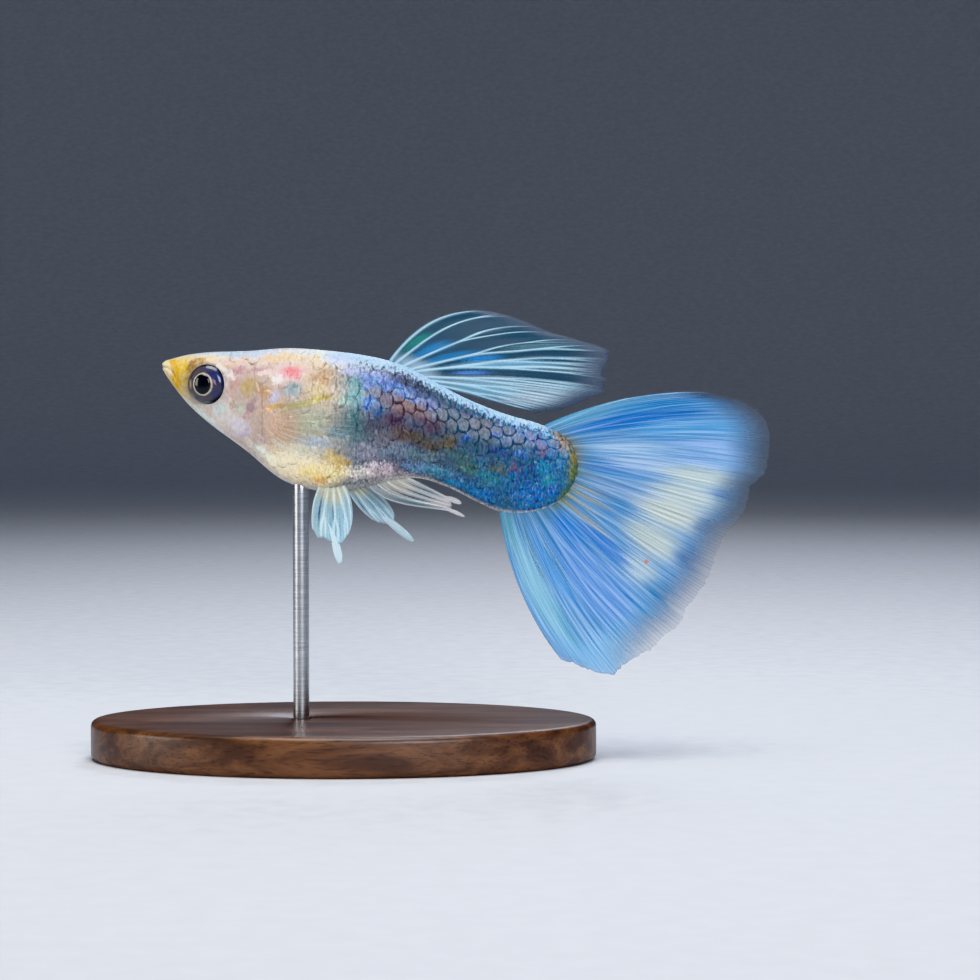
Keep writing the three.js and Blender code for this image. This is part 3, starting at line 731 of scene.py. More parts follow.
def build_eye(name, side):
    """One eye as a closed ball, side -1 for the fish's left and 1 for its right."""
    half_turn = np.linspace(0, math.pi, EYE_RINGS * 2 + 1)
    radius = EYE_RADIUS * np.sin(half_turn) * 0.995
    back_height = -EYE_DEPTH * np.sqrt(np.clip(1 - (radius / EYE_RADIUS) ** 2, 0, 1))
    height = np.where(half_turn <= math.pi / 2, eye_profile(radius), back_height)
    turn = np.linspace(0, 2 * math.pi, EYE_TURNS, endpoint=False)
    r, a = np.meshgrid(radius[1:-1], turn, indexing="ij")
    h = np.broadcast_to(height[1:-1][:, None], r.shape)
    on_face = h > 0
    forward = PUPIL_FORWARD * (1 - ease(r, 0.5, EYE_RADIUS)) * on_face
    tall = 1 + PUPIL_TALLER * (1 - ease(r, 0.5, 1.1)) * on_face
    local = np.stack([r * np.cos(a) - forward, h, r * np.sin(a) * tall], -1).reshape(-1, 3)
    iris_place = np.stack([r * np.cos(a), r * np.sin(a)], -1).reshape(-1, 2) / EYE_RADIUS
    poles = np.array([[-PUPIL_FORWARD, height[0], 0], [0, height[-1], 0]])
    local = np.vstack([local, poles])
    iris_place = np.vstack([iris_place, [[0, 0], [0, 0]]])
    forward_cos = math.cos(EYE_FORWARD)
    forward_sin = math.sin(EYE_FORWARD)
    turned = np.array([[forward_cos, -forward_sin, 0], [forward_sin, forward_cos, 0], [0, 0, 1]])
    points = local @ turned.T + EYE_PLACE
    points[:, 1] *= side
    faces = closed_tube(EYE_RINGS * 2 - 1, EYE_TURNS)
    if side < 0:
        faces = [face[::-1] for face in faces]
    eye = new_piece(name, points, faces, uvs=[("IrisPlace", iris_place * 0.5 + 0.5)])
    eye.data.materials.append(eye_surface)
    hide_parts(name)
    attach(eye, "root")


# Places are on the eye's face, its middle 0 and its rim 1, then as on the body. Two pale pink patches beside
# the pupil are painted glints.
EYE_PATCHES = [
    (0.5, 0.32, 0.45, 0.4, -40, 0.9, "#2f3768"),
    (0.1, 0.75, 0.5, 0.18, 0, 0.7, "#4f4a62"),
    (-0.4, 0.6, 0.35, 0.22, 40, 0.7, "#5d5550"),
    # Painted glint: a pale pinkish-grey highlight on the iris left of the pupil.
    (-0.75, 0.0, 0.11, 0.3, 0, 0.85, "#a8978a"),
    (-0.62, -0.5, 0.2, 0.25, 40, 0.7, "#5c5046"),
    # Painted glint: a pale pink highlight on the iris right of the pupil.
    (0.57, 0.1, 0.06, 0.2, 20, 0.8, "#a8858c"),
    (0.55, -0.4, 0.25, 0.3, -30, 0.7, "#30325a"),
    (0.0, -0.76, 0.5, 0.16, 0, 0.8, "#4a4c4c"),
    (0.1, -0.9, 0.3, 0.06, 0, 0.6, "#8c9a98"),
]


def eye_material():
    """Cornea over iris: mirror gloss over a dark ground, the iris flecked round the pupil, and two painted
    glints beside the pupil.
    """
    material, tree, shader = new_material(
        "glossy fish eye", Roughness=0.3, IOR=1.34, Coat_Weight=0.8, Coat_Roughness=0.03
    )
    face = add_node(tree, "UVMap", {"uv_map": "IrisPlace"})
    centred = add_node(
        tree, "VectorMath", MULTIPLY_ADD, {0: face}, _1=(2.0, 2.0, 0.0), _2=(-1.0, -1.0, 0.0)
    )
    noise = add_node(tree, "TexNoise", links={"Vector": centred}, Scale=8.0, Detail=3.0, Roughness=0.6)
    wandering = shake(tree, centred, noise, (0.12, 0.12, 0.0))
    reach = add_node(tree, "VectorMath", LENGTH, {0: wandering})
    rings = colour_ramp(
        tree, reach.outputs["Value"],
        [
            (0.43, "#918d80"), (0.47, "#c9bfaa"), (0.5, "#82796f"), (0.55, "#46424a"), (0.7, "#454356"),
            (0.86, "#2c2d46"), (0.93, "#15151c"), (1.0, "#1d1c1e"),
        ],
    )
    split = add_node(tree, "SeparateXYZ", links={0: wandering})
    upright = add_node(tree, "CombineXYZ", links={"X": split.outputs["X"], "Z": split.outputs["Y"]})
    coloured = paint(tree, rings, upright, EYE_PATCHES)
    ring = add_node(tree, "MapRange", SOFT, {"Value": reach.outputs["Value"]}, From_Min=0.49, From_Max=0.54)
    iris = add_node(tree, "Mix", COLOURS, {0: ring, 6: rings, 7: coloured})
    outline = add_node(
        tree, "MapRange", SOFT, {"Value": reach.outputs["Value"]}, From_Min=0.88, From_Max=0.97
    )
    outlined = add_node(tree, "Mix", COLOURS, {0: outline, 6: iris.outputs[2]}, _7=hex_colour("#16171f"))
    flat_reach = add_node(tree, "VectorMath", LENGTH, {0: centred})
    pupil = add_node(
        tree, "MapRange", SOFT, {"Value": flat_reach.outputs["Value"]}, From_Min=0.405, From_Max=0.435
    )
    seen = add_node(tree, "Mix", COLOURS, {0: pupil, 7: outlined.outputs[2]}, _6=hex_colour("#030308"))
    tree.links.new(seen.outputs[2], shader.inputs["Base Color"])
    return material


eye_surface = eye_material()
build_eye("eye_left", -1)
build_eye("eye_right", 1)


# The tail fin.
# A delta fan of bony rays that fork again and again towards the edge, joined by a thin membrane. It is blue
# with a creamy patch, and clear at its trailing edge.
def fin_sheet(u, v, base, margin, bow, bow_share, lift=lambda u, v: 0.0, bow_peak=0.5):
    """Places on a fin, u across its rays and v from root to edge, in fish millimetres."""
    foot = smooth_curve(base, u)
    ray = smooth_curve(margin, u) - foot
    outward = np.stack([-ray[..., 2], np.zeros_like(u), ray[..., 0]], -1)
    outward /= np.linalg.norm(outward, axis=-1, keepdims=True)
    rise = 2 * bow_peak
    fall = 2 - rise
    swell = v**rise * (1 - v) ** fall / (bow_peak**rise * (1 - bow_peak) ** fall)
    points = foot + ray * v[..., None] + outward * (bow * bow_share(u) * swell)[..., None]
    points[..., 1] += lift(u, v)
    return points


def even_rays(count, forks, seed):
    """Rays of a fan: the share across at the root and at the edge, the first split, and where each forks."""
    jitter = np.random.default_rng(seed).normal(0, 0.12 / count, (count, 2))
    middles = (np.arange(count)[:, None] + 0.5) / count + jitter
    return [(foot, tip, 0.25 / count, forks) for foot, tip in middles]


def ray_ridges(u, v, spacing, rays, width):
    """How much of each place is bony ray, 0 to 1. A ray forks in two from every share in its forks."""
    ridges = np.zeros_like(u)
    for foot, tip, split, forks in rays:
        away = np.abs(u - tip - (foot - tip) * (1 - v) ** 2)
        for fork in forks:
            away = np.abs(away - split * ease(v, fork, fork + 0.3))
            split /= 2
        ridges = np.maximum(ridges, np.exp(-((away * spacing / width(v)) ** 2)))
    return ridges


def ragged_edge(lobes, depth, nicks, nick_depth, seed):
    """A fin's edge ends unevenly: in broad lobes up to depth short, and in nicks up to nick_depth short."""
    rng = np.random.default_rng(seed)
    lobe = rng.uniform(0, depth, lobes + 1)
    nick = rng.uniform(0, nick_depth, nicks + 1)

    def shortfall(u):
        return np.interp(u * lobes, range(lobes + 1), lobe) + np.interp(u * nicks, range(nicks + 1), nick)

    return shortfall


RAY_TAPER = 0.6  # a ray is this share thinner at its tip, and the fin's edge thins by EDGE_TAPER
EDGE_TAPER = 0.55


def build_fin(name, shape, rays, ray_width, columns, rows, thick, edge, material):
    """A closed thin shell over the fin's sheet, thicker along its rays, with a ragged edge."""
    u, v = np.meshgrid(np.linspace(0, 1, columns), np.linspace(0, 1, rows), indexing="ij")
    points = fin_sheet(u, v * (1 - edge(u)), **shape)
    across = np.gradient(points, axis=0)
    along = np.gradient(points, axis=1)
    spacing = np.linalg.norm(across, axis=-1) * (columns - 1)
    ridges = ray_ridges(u, v, spacing, rays, ray_width)
    normal = np.cross(across, along)
    normal /= np.maximum(np.linalg.norm(normal, axis=-1, keepdims=True), 1e-9)
    membrane, bone = thick
    half = 0.5 * (membrane + bone * ridges * (1 - RAY_TAPER * v)) * (1 - EDGE_TAPER * ease(v, 0.85, 1.0))
    front = points + normal * half[..., None]
    rear = points - normal * half[..., None]
    place = np.stack([u, v], -1).reshape(-1, 2)
    fin = new_piece(
        name,
        np.vstack([front.reshape(-1, 3), rear.reshape(-1, 3)]),
        shell_faces(columns, rows),
        uvs=[("FinPlace", np.tile(place, (2, 1)))],
        values=[("ray", np.tile(ridges.ravel(), 2))],
    )
    fin.data.materials.append(material)
    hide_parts(name)
    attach(fin, "root")


def fin_material(name, base, patches, streaks, ray, cover, clear, spots=()):
    """A wet membrane between bony rays. Pigment lies along the rays in streaks and thins to a clear edge.
    patches are placed by share of the ray's length and share across the fin. streaks are how many lie
    across the fin, how far pigment runs along them and how much they differ. ray is its colour and strength.
    cover is how opaque membrane, clear edge and ray are. clear is where the clear edge starts and is full,
    its colour, and between which shares across it ends. spots are patches with crisp edges."""
    material, tree, shader = new_material(
        name, Roughness=0.45, IOR=1.36, Coat_Weight=0.12, Coat_Roughness=0.2
    )
    streak_count, streak_run, streak_contrast = streaks
    fin_place = add_node(tree, "UVMap", {"uv_map": "FinPlace"})
    across = add_node(tree, "SeparateXYZ", links={0: fin_place})
    streak_place = add_node(tree, "Mapping", links={"Vector": fin_place}, Scale=(streak_count, 2.2, 1.0))
    streak = add_node(tree, "TexNoise", links={"Vector": streak_place}, Scale=1.0, Detail=3.0)
    bead_place = add_node(
        tree, "Mapping", links={"Vector": fin_place}, Scale=(streak_count * 1.6, streak_count * 0.7, 1.0)
    )
    beads = add_node(tree, "TexNoise", links={"Vector": bead_place}, Scale=1.0, Detail=2.0)
    upright = add_node(tree, "CombineXYZ", links={"X": across.outputs["Y"], "Z": across.outputs["X"]})
    streaked = shake(tree, upright, streak, (streak_run, 0.0, 0.02))
    beaded = shake(tree, streaked, beads, (0.16, 0.0, 0.06))
    start = add_node(tree, "RGB")
    start.outputs[0].default_value = hex_colour(base)
    colour = paint(tree, start, beaded, patches)
    colour = paint(tree, colour, upright, spots)
    ray_colour, ray_strength = ray
    bony = add_node(tree, "Attribute", {"attribute_name": "ray"})
    on_ray = add_node(tree, "Math", MULTIPLY, {0: bony.outputs["Fac"]}, _1=ray_strength)
    rayed = add_node(tree, "Mix", COLOURS, {0: on_ray, 6: colour}, _7=hex_colour(ray_colour))
    # Streaks differ in brightness, and the brighter ones are paler.
    value = add_node(
        tree, "MapRange", links={"Value": streak.outputs["Fac"]},
        From_Min=0.32, From_Max=0.68, To_Min=1.0 - streak_contrast, To_Max=1.0 + streak_contrast,
    )
    bead_value = add_node(
        tree, "MapRange", links={"Value": beads.outputs["Fac"]},
        From_Min=0.3, From_Max=0.7, To_Min=0.8, To_Max=1.2,
    )
    values = add_node(tree, "Math", MULTIPLY, {0: value, 1: bead_value})
    paleness = add_node(
        tree, "MapRange", links={"Value": streak.outputs["Fac"]}, From_Min=0.32, From_Max=0.68,
        To_Min=1.0 + streak_contrast * 0.8, To_Max=1.0 - streak_contrast * 0.8,
    )
    streaky = add_node(
        tree, "HueSaturation", links={"Value": values, "Saturation": paleness, "Color": rayed.outputs[2]}
    )
    # The clear edge starts at a share of the ray that differs from ray to ray.
    clear_from, clear_to, clear_tint, ends_from, ends_to = clear
    edge_places = add_node(tree, "SeparateXYZ", links={0: streaked})
    margin = add_node(
        tree, "MapRange", SOFT, {"Value": edge_places.outputs["X"]}, From_Min=clear_from, From_Max=clear_to
    )
    kept = add_node(
        tree, "MapRange", SOFT, {"Value": across.outputs["X"]},
        To_Min=1.0, To_Max=0.1, From_Min=ends_from, From_Max=ends_to,
    )
    cleared = add_node(tree, "Math", MULTIPLY, {0: margin, 1: kept})
    faded = add_node(
        tree, "Mix", COLOURS, {0: cleared, 6: streaky.outputs["Color"]}, _7=hex_colour(clear_tint)
    )
    tree.links.new(faded.outputs[2], shader.inputs["Base Color"])
    membrane_cover, clear_cover, ray_cover = cover
    sheet_cover = add_node(
        tree, "MapRange", links={"Value": cleared}, To_Min=membrane_cover, To_Max=clear_cover
    )
    bone_cover = add_node(
        tree, "MapRange", links={"Value": cleared}, To_Min=ray_cover, To_Max=clear_cover + 0.16
    )
    both = add_node(
        tree, "Mix", {"data_type": "FLOAT"}, {0: bony.outputs["Fac"], 2: sheet_cover, 3: bone_cover}
    )
    # The last of the edge is thinner still.
    rim = add_node(
        tree, "MapRange", SOFT, {"Value": across.outputs["Y"]},
        From_Min=0.93, From_Max=1.0, To_Min=1.0, To_Max=0.7,
    )
    alpha = add_node(tree, "Math", MULTIPLY, {0: both, 1: rim})
    tree.links.new(alpha.outputs[0], shader.inputs["Alpha"])
    ripple = add_node(tree, "Bump", links={"Height": streak.outputs["Fac"]}, Strength=0.3, Distance=0.00004)
    tree.links.new(ripple.outputs[0], shader.inputs["Normal"])
    return material


TAIL_SWING = 2.6
TAIL_WAVE = 0.55
tail_shape = {
    "base": [(28.0, 0, -4.7), (29.9, 0, -6.0), (30.2, 0, -8.1), (28.4, 0, -10.1), (25.2, 0, -10.85)],
    "margin": [
        (41.2, 0, -2.0), (44.0, 0, -2.9), (45.6, 0, -5.0), (45.0, 0, -7.9), (43.9, 0, -10.0),
        (42.5, 0, -12.6), (41.0, 0, -15.8), (39.3, 0, -18.5), (36.8, 0, -21.2), (33.2, 0, -23.1),
        (29.9, 0, -21.9),
    ],
    "bow": 0.85,
    "bow_share": lambda u: np.cos(math.pi * u) * np.abs(np.cos(math.pi * u)),
    "lift": lambda u, v: -TAIL_SWING * v**1.7 + TAIL_WAVE * v * np.sin(u * math.pi * 3 + 0.6),
}
# Places are a share of the ray's length and a share across the fin from its top edge.
TAIL_PATCHES = [
    (0.3, 0.02, 0.5, 0.09, 0, 0.8, "#6eb0d2"),
    (0.6, 0.08, 0.34, 0.06, 0, 0.85, "#358fd0"),
    (0.42, 0.14, 0.42, 0.05, 0, 1.0, "#1b74c8"),
    (0.62, 0.19, 0.34, 0.05, 0, 0.8, "#5ba6de"),
    (0.7, 0.27, 0.26, 0.07, 0, 0.9, "#86aede"),
    (0.3, 0.27, 0.3, 0.04, 0, 0.8, "#9dc0e0"),
    (0.2, 0.38, 0.22, 0.05, 0, 0.85, "#4f86c6"),
    (0.42, 0.34, 0.26, 0.05, 0, 0.8, "#a3c1e2"),
    (0.45, 0.47, 0.3, 0.06, 0, 0.7, "#86a9d2"),
    (0.2, 0.5, 0.2, 0.07, 0, 0.6, "#7f9fc4"),
    (0.72, 0.355, 0.26, 0.05, 0, 0.85, "#c2cfc8"),
    (0.68, 0.43, 0.26, 0.055, 0, 0.85, "#c2cfca"),
    (0.66, 0.5, 0.28, 0.055, 0, 0.9, "#c6d0c6"),
    (0.63, 0.59, 0.24, 0.06, 0, 0.9, "#c0cec8"),
    (0.66, 0.68, 0.15, 0.045, 0, 0.9, "#b4cad6"),
    (0.88, 0.4, 0.1, 0.02, 0, 0.7, "#4a7cbc"),
    (0.88, 0.5, 0.08, 0.03, 0, 0.7, "#3a74b4"),
    (0.86, 0.59, 0.11, 0.035, 0, 0.75, "#2c6aac"),
    (0.82, 0.7, 0.12, 0.035, 0, 0.8, "#3f83b8"),
    (0.86, 0.76, 0.12, 0.04, 0, 0.85, "#4a94c6"),
    (0.5, 0.79, 0.4, 0.075, 0, 0.85, "#6496d8"),
    (0.17, 0.735, 0.2, 0.035, 0, 0.95, "#3482d4"),
    (0.4, 0.69, 0.26, 0.03, 0, 0.9, "#427fce"),
    (0.35, 0.86, 0.3, 0.03, 0, 0.8, "#4c96d8"),
    (0.5, 0.94, 0.5, 0.055, 0, 0.85, "#7fbad0"),
    (0.3, 0.845, 0.24, 0.008, 0, 0.9, "#2c76a0"),
    (0.24, 0.9, 0.24, 0.007, 0, 0.9, "#256c86"),
    (0.1, 0.97, 0.2, 0.04, 0, 0.8, "#5ea2b4"),
    (0.92, 0.88, 0.16, 0.12, 0, 0.85, "#7ab6e0"),
    (0.03, 0.5, 0.14, 0.6, 0, 0.6, "#4b7d98"),
    (0.01, 0.3, 0.09, 0.26, 0, 0.85, "#7d7230"),
    (0.02, 0.65, 0.09, 0.14, 0, 0.8, "#66783c"),
    (0.14, 0.54, 0.17, 0.006, 0, 0.9, "#b3a25a"),
    (0.14, 0.575, 0.24, 0.007, 0, 0.9, "#c0ad62"),
    (0.14, 0.615, 0.2, 0.006, 0, 0.9, "#b3a25a"),
    (0.2, 0.657, 0.26, 0.007, 0, 0.9, "#beae74"),
    (0.1, 0.45, 0.12, 0.005, 0, 0.8, "#a89c60"),
]
tail_membrane = fin_material(
    "tail fin membrane and rays",
    "#5c94c8",
    TAIL_PATCHES,
    streaks=(260.0, 0.2, 0.22),
    ray=("#b4cfe2", 0.2),
    cover=(0.84, 0.13, 0.9),
    clear=(0.78, 1.0, "#5f7590", 0.78, 0.9),
    spots=[(0.663, 0.652, 0.016, 0.009, 0, 0.9, "#cf7250")],
)
build_fin(
    "tail_fin",
    tail_shape,
    rays=even_rays(17, (0.12, 0.36, 0.62), 3),
    ray_width=lambda v: 0.12 - 0.06 * v,
    columns=620,
    rows=60,
    thick=(0.1, 0.13),
    edge=ragged_edge(26, 0.04, 180, 0.016, 5),
    material=tail_membrane,
)


# The dorsal fin.
# A swept-back flag: the front rays stand out alone with dark clear membrane between them, and those behind
# crowd together. Turquoise flecks lie between the first rays near the back.
DORSAL_LEAN = 1.35
dorsal_shape = {
    "base": [(16.9, 0, 0.35), (18.4, 0, -0.35), (20.25, 0, -1.45)],
    "margin": [
        (25.0, 0, 4.0), (27.1, 0, 3.6), (29.5, 0, 2.5), (32.1, 0, 1.9), (34.0, 0, 1.15),
        (33.8, 0, -0.4), (33.7, 0, -1.7), (32.6, 0, -2.45), (30.6, 0, -3.25), (28.2, 0, -3.6),
    ],
    "bow": 1.45,
    "bow_share": lambda u: (1 - u) ** 1.2,
    "lift": lambda u, v: DORSAL_LEAN * v**1.3,
}
# Each ray is its share across at the root and at the edge, its first split, and where it forks.
DORSAL_RAYS = [
    (0.035, 0.01, 0.0, ()),
    (0.165, 0.1, 0.012, (0.7,)),
    (0.33, 0.215, 0.026, (0.35,)),
    (0.49, 0.405, 0.034, (0.28, 0.62)),
    (0.57, 0.555, 0.03, (0.18, 0.4, 0.7)),
    (0.735, 0.725, 0.028, (0.15, 0.35, 0.6)),
    (0.84, 0.835, 0.028, (0.2, 0.4, 0.65)),
    (0.95, 0.945, 0.026, (0.25, 0.45, 0.7)),
]
DORSAL_PATCHES = [
    (0.5, 0.83, 0.7, 0.2, 0, 0.85, "#8fa6bc"),
    (0.75, 0.86, 0.4, 0.14, 0, 0.8, "#b3b6c0"),
    (0.4, 0.86, 0.3, 0.12, 0, 0.7, "#6fb0c8"),
    (0.45, 0.56, 0.4, 0.05, 0, 0.9, "#79b4d2"),
    (0.7, 0.42, 0.25, 0.03, 0, 0.6, "#3f8296"),
    (0.24, 0.09, 0.16, 0.05, 0, 0.85, "#1a8c84"),
    (0.22, 0.24, 0.18, 0.08, 0, 0.9, "#1580be"),
    (0.22, 0.41, 0.2, 0.07, 0, 0.9, "#1a80bc"),
    (0.36, 0.49, 0.14, 0.03, 0, 0.95, "#1a8ede"),
    (0.3, 0.64, 0.12, 0.03, 0, 0.9, "#3a86e0"),
    (0.6, 0.655, 0.4, 0.012, 0, 0.95, "#0b3e58"),
    (0.04, 0.5, 0.1, 0.6, 0, 0.8, "#b4ccdc"),
]
dorsal_membrane = fin_material(
    "dorsal fin membrane and rays",
    "#094560",
    DORSAL_PATCHES,
    streaks=(110.0, 0.14, 0.22),
    ray=("#b6deee", 0.85),
    cover=(0.7, 0.4, 0.94),
    clear=(0.76, 1.0, "#566880", 2.0, 3.0),
)
build_fin(
    "dorsal_fin",
    dorsal_shape,
    rays=DORSAL_RAYS,
    ray_width=lambda v: 0.13 - 0.055 * v,
    columns=420,
    rows=56,
    thick=(0.07, 0.18),
    edge=ragged_edge(11, 0.08, 44, 0.03, 8),
    material=dorsal_membrane,
)


# The pectoral fins.
# A rounded clear fan behind each gill cover, of about thirteen fine rays from a fleshy peach-coloured base.
def pectoral_shape(drop, flare, side):
    base = [(8.1, -2.35, -3.2), (8.2, -2.45, -4.2), (8.0, -2.2, -5.3)]
    margin = [
        (9.9, -3.4, -2.8), (12.0, -3.9 - flare * 0.6, -2.5 - drop * 0.5),
        (14.3, -4.4 - flare, -3.4 - drop), (14.9, -4.5 - flare, -5.1 - drop),
        (13.7, -4.2 - flare, -6.5 - drop), (11.8, -3.8 - flare * 0.6, -6.9 - drop * 0.5),
        (9.8, -3.2, -6.3),
    ]
    return {
        "base": [(x, -side * y, z) for x, y, z in base],
        "margin": [(x, -side * y, z) for x, y, z in margin],
        "bow": 0.2,
        "bow_share": lambda u: np.cos(math.pi * u),
        "lift": lambda u, v: side * 0.25 * np.sin(math.pi * v),
    }


pectoral_membrane = fin_material(
    "clear pectoral fin",
    "#b6c6b8",
    [
        (0.1, 0.5, 0.35, 0.6, 0, 0.9, "#d8b08c"),
        (0.4, 0.08, 0.6, 0.12, 0, 0.9, "#bfae48"),
        (0.75, 0.6, 0.35, 0.35, 0, 0.8, "#86aec4"),
        (0.9, 0.35, 0.25, 0.2, 0, 0.7, "#4e7f88"),
    ],
    streaks=(40.0, 0.3, 0.25),
    ray=("#c9dbe2", 0.5),
    cover=(0.09, 0.04, 0.22),
    clear=(0.6, 1.0, "#8fa9ad", 2.0, 3.0),
)
for fin_name, drop, flare, side in (("pectoral_fin_left", 0, 0, -1), ("pectoral_fin_right", 1.7, 0.7, 1)):
    build_fin(
        fin_name,
        pectoral_shape(drop, flare, side),
        rays=even_rays(13, (0.45,), 2),
        ray_width=lambda v: 0.08 - 0.03 * v,
        columns=220,
        rows=36,
        thick=(0.06, 0.09),
        edge=ragged_edge(13, 0.03, 26, 0.03, 12),
        material=pectoral_membrane,
    )


# The pelvic fins.
# A small milky fan on each side of the belly, its longest ray drawn out in a fleshy finger.
pelvic_membrane = fin_material(
    "milky pelvic fin",
    "#a6c8d4",
    [
        (0.05, 0.5, 0.3, 0.7, 0, 0.85, "#e0dcb8"),
        (0.75, 0.6, 0.4, 0.4, 0, 0.7, "#9ccbe0"),
        (0.45, 0.2, 0.32, 0.035, 0, 0.9, "#2a5f8c"),
        (0.45, 0.5, 0.2, 0.03, 0, 0.8, "#3f7490"),
        (0.6, 0.72, 0.3, 0.02, 0, 0.8, "#3f86b4"),
    ],
    streaks=(34.0, 0.25, 0.2),
    ray=("#d8e8ec", 0.6),
    cover=(0.6, 0.5, 0.96),
    clear=(1.5, 2.0, "#9bc3d4", 2.0, 3.0),
)
PELVIC_RAYS = [
    (0.02, 0.02, 0.0, ()),
    (0.32, 0.32, 0.05, (0.5,)),
    (0.5, 0.55, 0.04, (0.5,)),
    (0.68, 0.76, 0.03, (0.5,)),
    (0.9, 0.93, 0.03, (0.5,)),
]
pelvic_shapes = {
    "pelvic_fin_left": {
        "base": [(11.7, -0.75, -9.0), (12.8, -0.85, -9.1), (13.7, -0.8, -8.9)],
        "margin": [
            (11.3, -1.9, -12.3), (11.8, -2.2, -13.05), (12.4, -2.35, -13.1), (13.3, -2.6, -13.45),
            (13.95, -2.5, -12.8), (14.25, -2.2, -11.8),
        ],
        "bow": 0.25,
        "bow_share": lambda u: -np.cos(math.pi * u),
    },
    "pelvic_fin_right": {
        "base": [(13.6, 0.9, -8.95), (14.3, 1.0, -8.95), (15.1, 1.0, -8.85)],
        "margin": [(15.9, 1.55, -11.8), (16.6, 1.7, -12.1), (17.35, 1.8, -12.0), (17.3, 1.75, -11.2)],
        "bow": 0.3,
        "bow_share": lambda u: -np.cos(math.pi * u),
    },
}
for fin_name, shape in pelvic_shapes.items():
    build_fin(
        fin_name,
        shape,
        rays=PELVIC_RAYS,
        ray_width=lambda v: 0.13 - 0.05 * v,
        columns=160,
        rows=34,
        thick=(0.07, 0.17),
        edge=ragged_edge(6, 0.06, 12, 0.05, 4),
        material=pelvic_membrane,
    )


FINGER_RINGS = 26
FINGER_SIDES = 20


def build_finger(name, start, end, width, depth, material):
    """A fleshy fin tip: a spindle, blunt at its end, that grows out of the fin and bends a little."""
    start = np.array(start, float)
    end = np.array(end, float)
    axis = (end - start) / np.linalg.norm(end - start)
    side = np.cross(axis, [0, 1, 0])
    side /= np.linalg.norm(side)
    flat = np.cross(axis, side)
    t = np.linspace(0.001, 0.999, FINGER_RINGS)
    swell = 0.85 * ease(t, -0.02, 0.75) * np.sqrt(1 - ease(t, 0.7, 1.05) ** 2)
    turn = np.linspace(0, 2 * math.pi, FINGER_SIDES, endpoint=False)
    centre = start + (end - start) * t[:, None] + side * (0.12 * np.sin(math.pi * t))[:, None]
    ring = np.cos(turn)[None, :, None] * side * width / 2 + np.sin(turn)[None, :, None] * flat * depth / 2
    points = (centre[:, None, :] + ring * swell[:, None, None]).reshape(-1, 3)
    points = np.vstack([points, start, end])
    faces = closed_tube(FINGER_RINGS, FINGER_SIDES)
    along = np.repeat(t, FINGER_SIDES)
    around = np.tile(0.35 + 0.1 * np.cos(turn), FINGER_RINGS)
    place = np.vstack([np.stack([around, 0.6 + 0.3 * along], -1), [[0.35, 0.6], [0.35, 0.9]]])
    bony = np.full(len(points), 0.85)
    finger = new_piece(name, points, faces, uvs=[("FinPlace", place)], values=[("ray", bony)])
    finger.data.materials.append(material)
    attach(finger, "root")


build_finger("pelvic_tip_left", (12.3, -1.85, -11.3), (13.4, -2.75, -14.65), 0.78, 0.36, pelvic_membrane)
build_finger("pelvic_tip_right", (14.4, 1.25, -10.0), (18.7, 2.1, -13.3), 0.74, 0.36, pelvic_membrane)


# The anal fin.
# The male's fin is narrowed to a rod for mating. It lies back under the tail, its rays dark-speckled, and
# ends in a fork.
anal_membrane = fin_material(
    "speckled anal fin",
    "#98a4aa",
    [
        (0.1, 0.6, 0.4, 0.5, 0, 0.8, "#cfcbbc"),
        (0.55, 0.1, 0.4, 0.08, 0, 0.8, "#4d7080"),
        (0.55, 0.33, 0.5, 0.03, 0, 0.95, "#26323c"),
        (0.6, 0.55, 0.5, 0.03, 0, 0.95, "#2c3842"),
        (0.5, 0.78, 0.4, 0.03, 0, 0.9, "#4a5a62"),
        (0.9, 0.5, 0.25, 0.5, 0, 0.6, "#cdbfc0"),
    ],
    streaks=(40.0, 0.3, 0.34),
    ray=("#d2d8da", 0.5),
    cover=(0.8, 0.7, 0.96),
    clear=(1.5, 2.0, "#8899a4", 2.0, 3.0),
)
anal_shape = {
    "base": [(15.3, 0, -8.6), (16.8, 0, -8.4), (18.0, 0, -8.1)],
    "margin": [(21.6, 0, -10.95), (21.75, 0, -10.5), (21.7, 0, -10.0)],
    "bow": 0.8,
    "bow_share": lambda u: -((1 - u) ** 1.5),
    "bow_peak": 0.3,
}
build_fin(
    "anal_fin",
    anal_shape,
    rays=[(share, share, 0.0, ()) for share in (0.02, 0.22, 0.44, 0.67, 0.93)],
    ray_width=lambda v: 0.12 - 0.04 * v,
    columns=120,
    rows=48,
    thick=(0.1, 0.2),
    edge=ragged_edge(5, 0.03, 10, 0.02, 9),
    material=anal_membrane,
)
build_finger("anal_fork_upper", (20.2, 0, -9.75), (22.35, 0, -10.3), 0.5, 0.3, anal_membrane)
build_finger("anal_fork_lower", (20.2, 0, -10.55), (22.6, 0, -11.3), 0.36, 0.26, anal_membrane)


# The stand's base.
# An oval of walnut, cut across its width, with its upper edge eased, sanded and waxed to a satin finish.
BASE_LENGTH = 38.0
BASE_WIDTH = 22.0
BASE_HEIGHT = 3.0
BASE_EASE = 0.5
BASE_SIDES = 160
ROD_RADIUS = 0.6
ROD_BACK = -3.2
HOLE_RADIUS = 0.69
HOLE_EASE = 0.12
HOLE_DEPTH = 1.5


def oval_ring(inset, height):
    """One ring of the base, inset from its edge."""
    turn = np.linspace(0, 2 * math.pi, BASE_SIDES, endpoint=False)
    x = (BASE_LENGTH / 2 - inset) * np.cos(turn)
    y = (BASE_WIDTH / 2 - inset) * np.sin(turn)
    return np.stack([x, y, np.full(BASE_SIDES, height)], -1)


def round_ring(radius, height, sides):
    """One ring round the rod's axis."""
    turn = np.linspace(0, 2 * math.pi, sides, endpoint=False)
    return np.stack([ROD_BACK + radius * np.cos(turn), radius * np.sin(turn), np.full(sides, height)], -1)


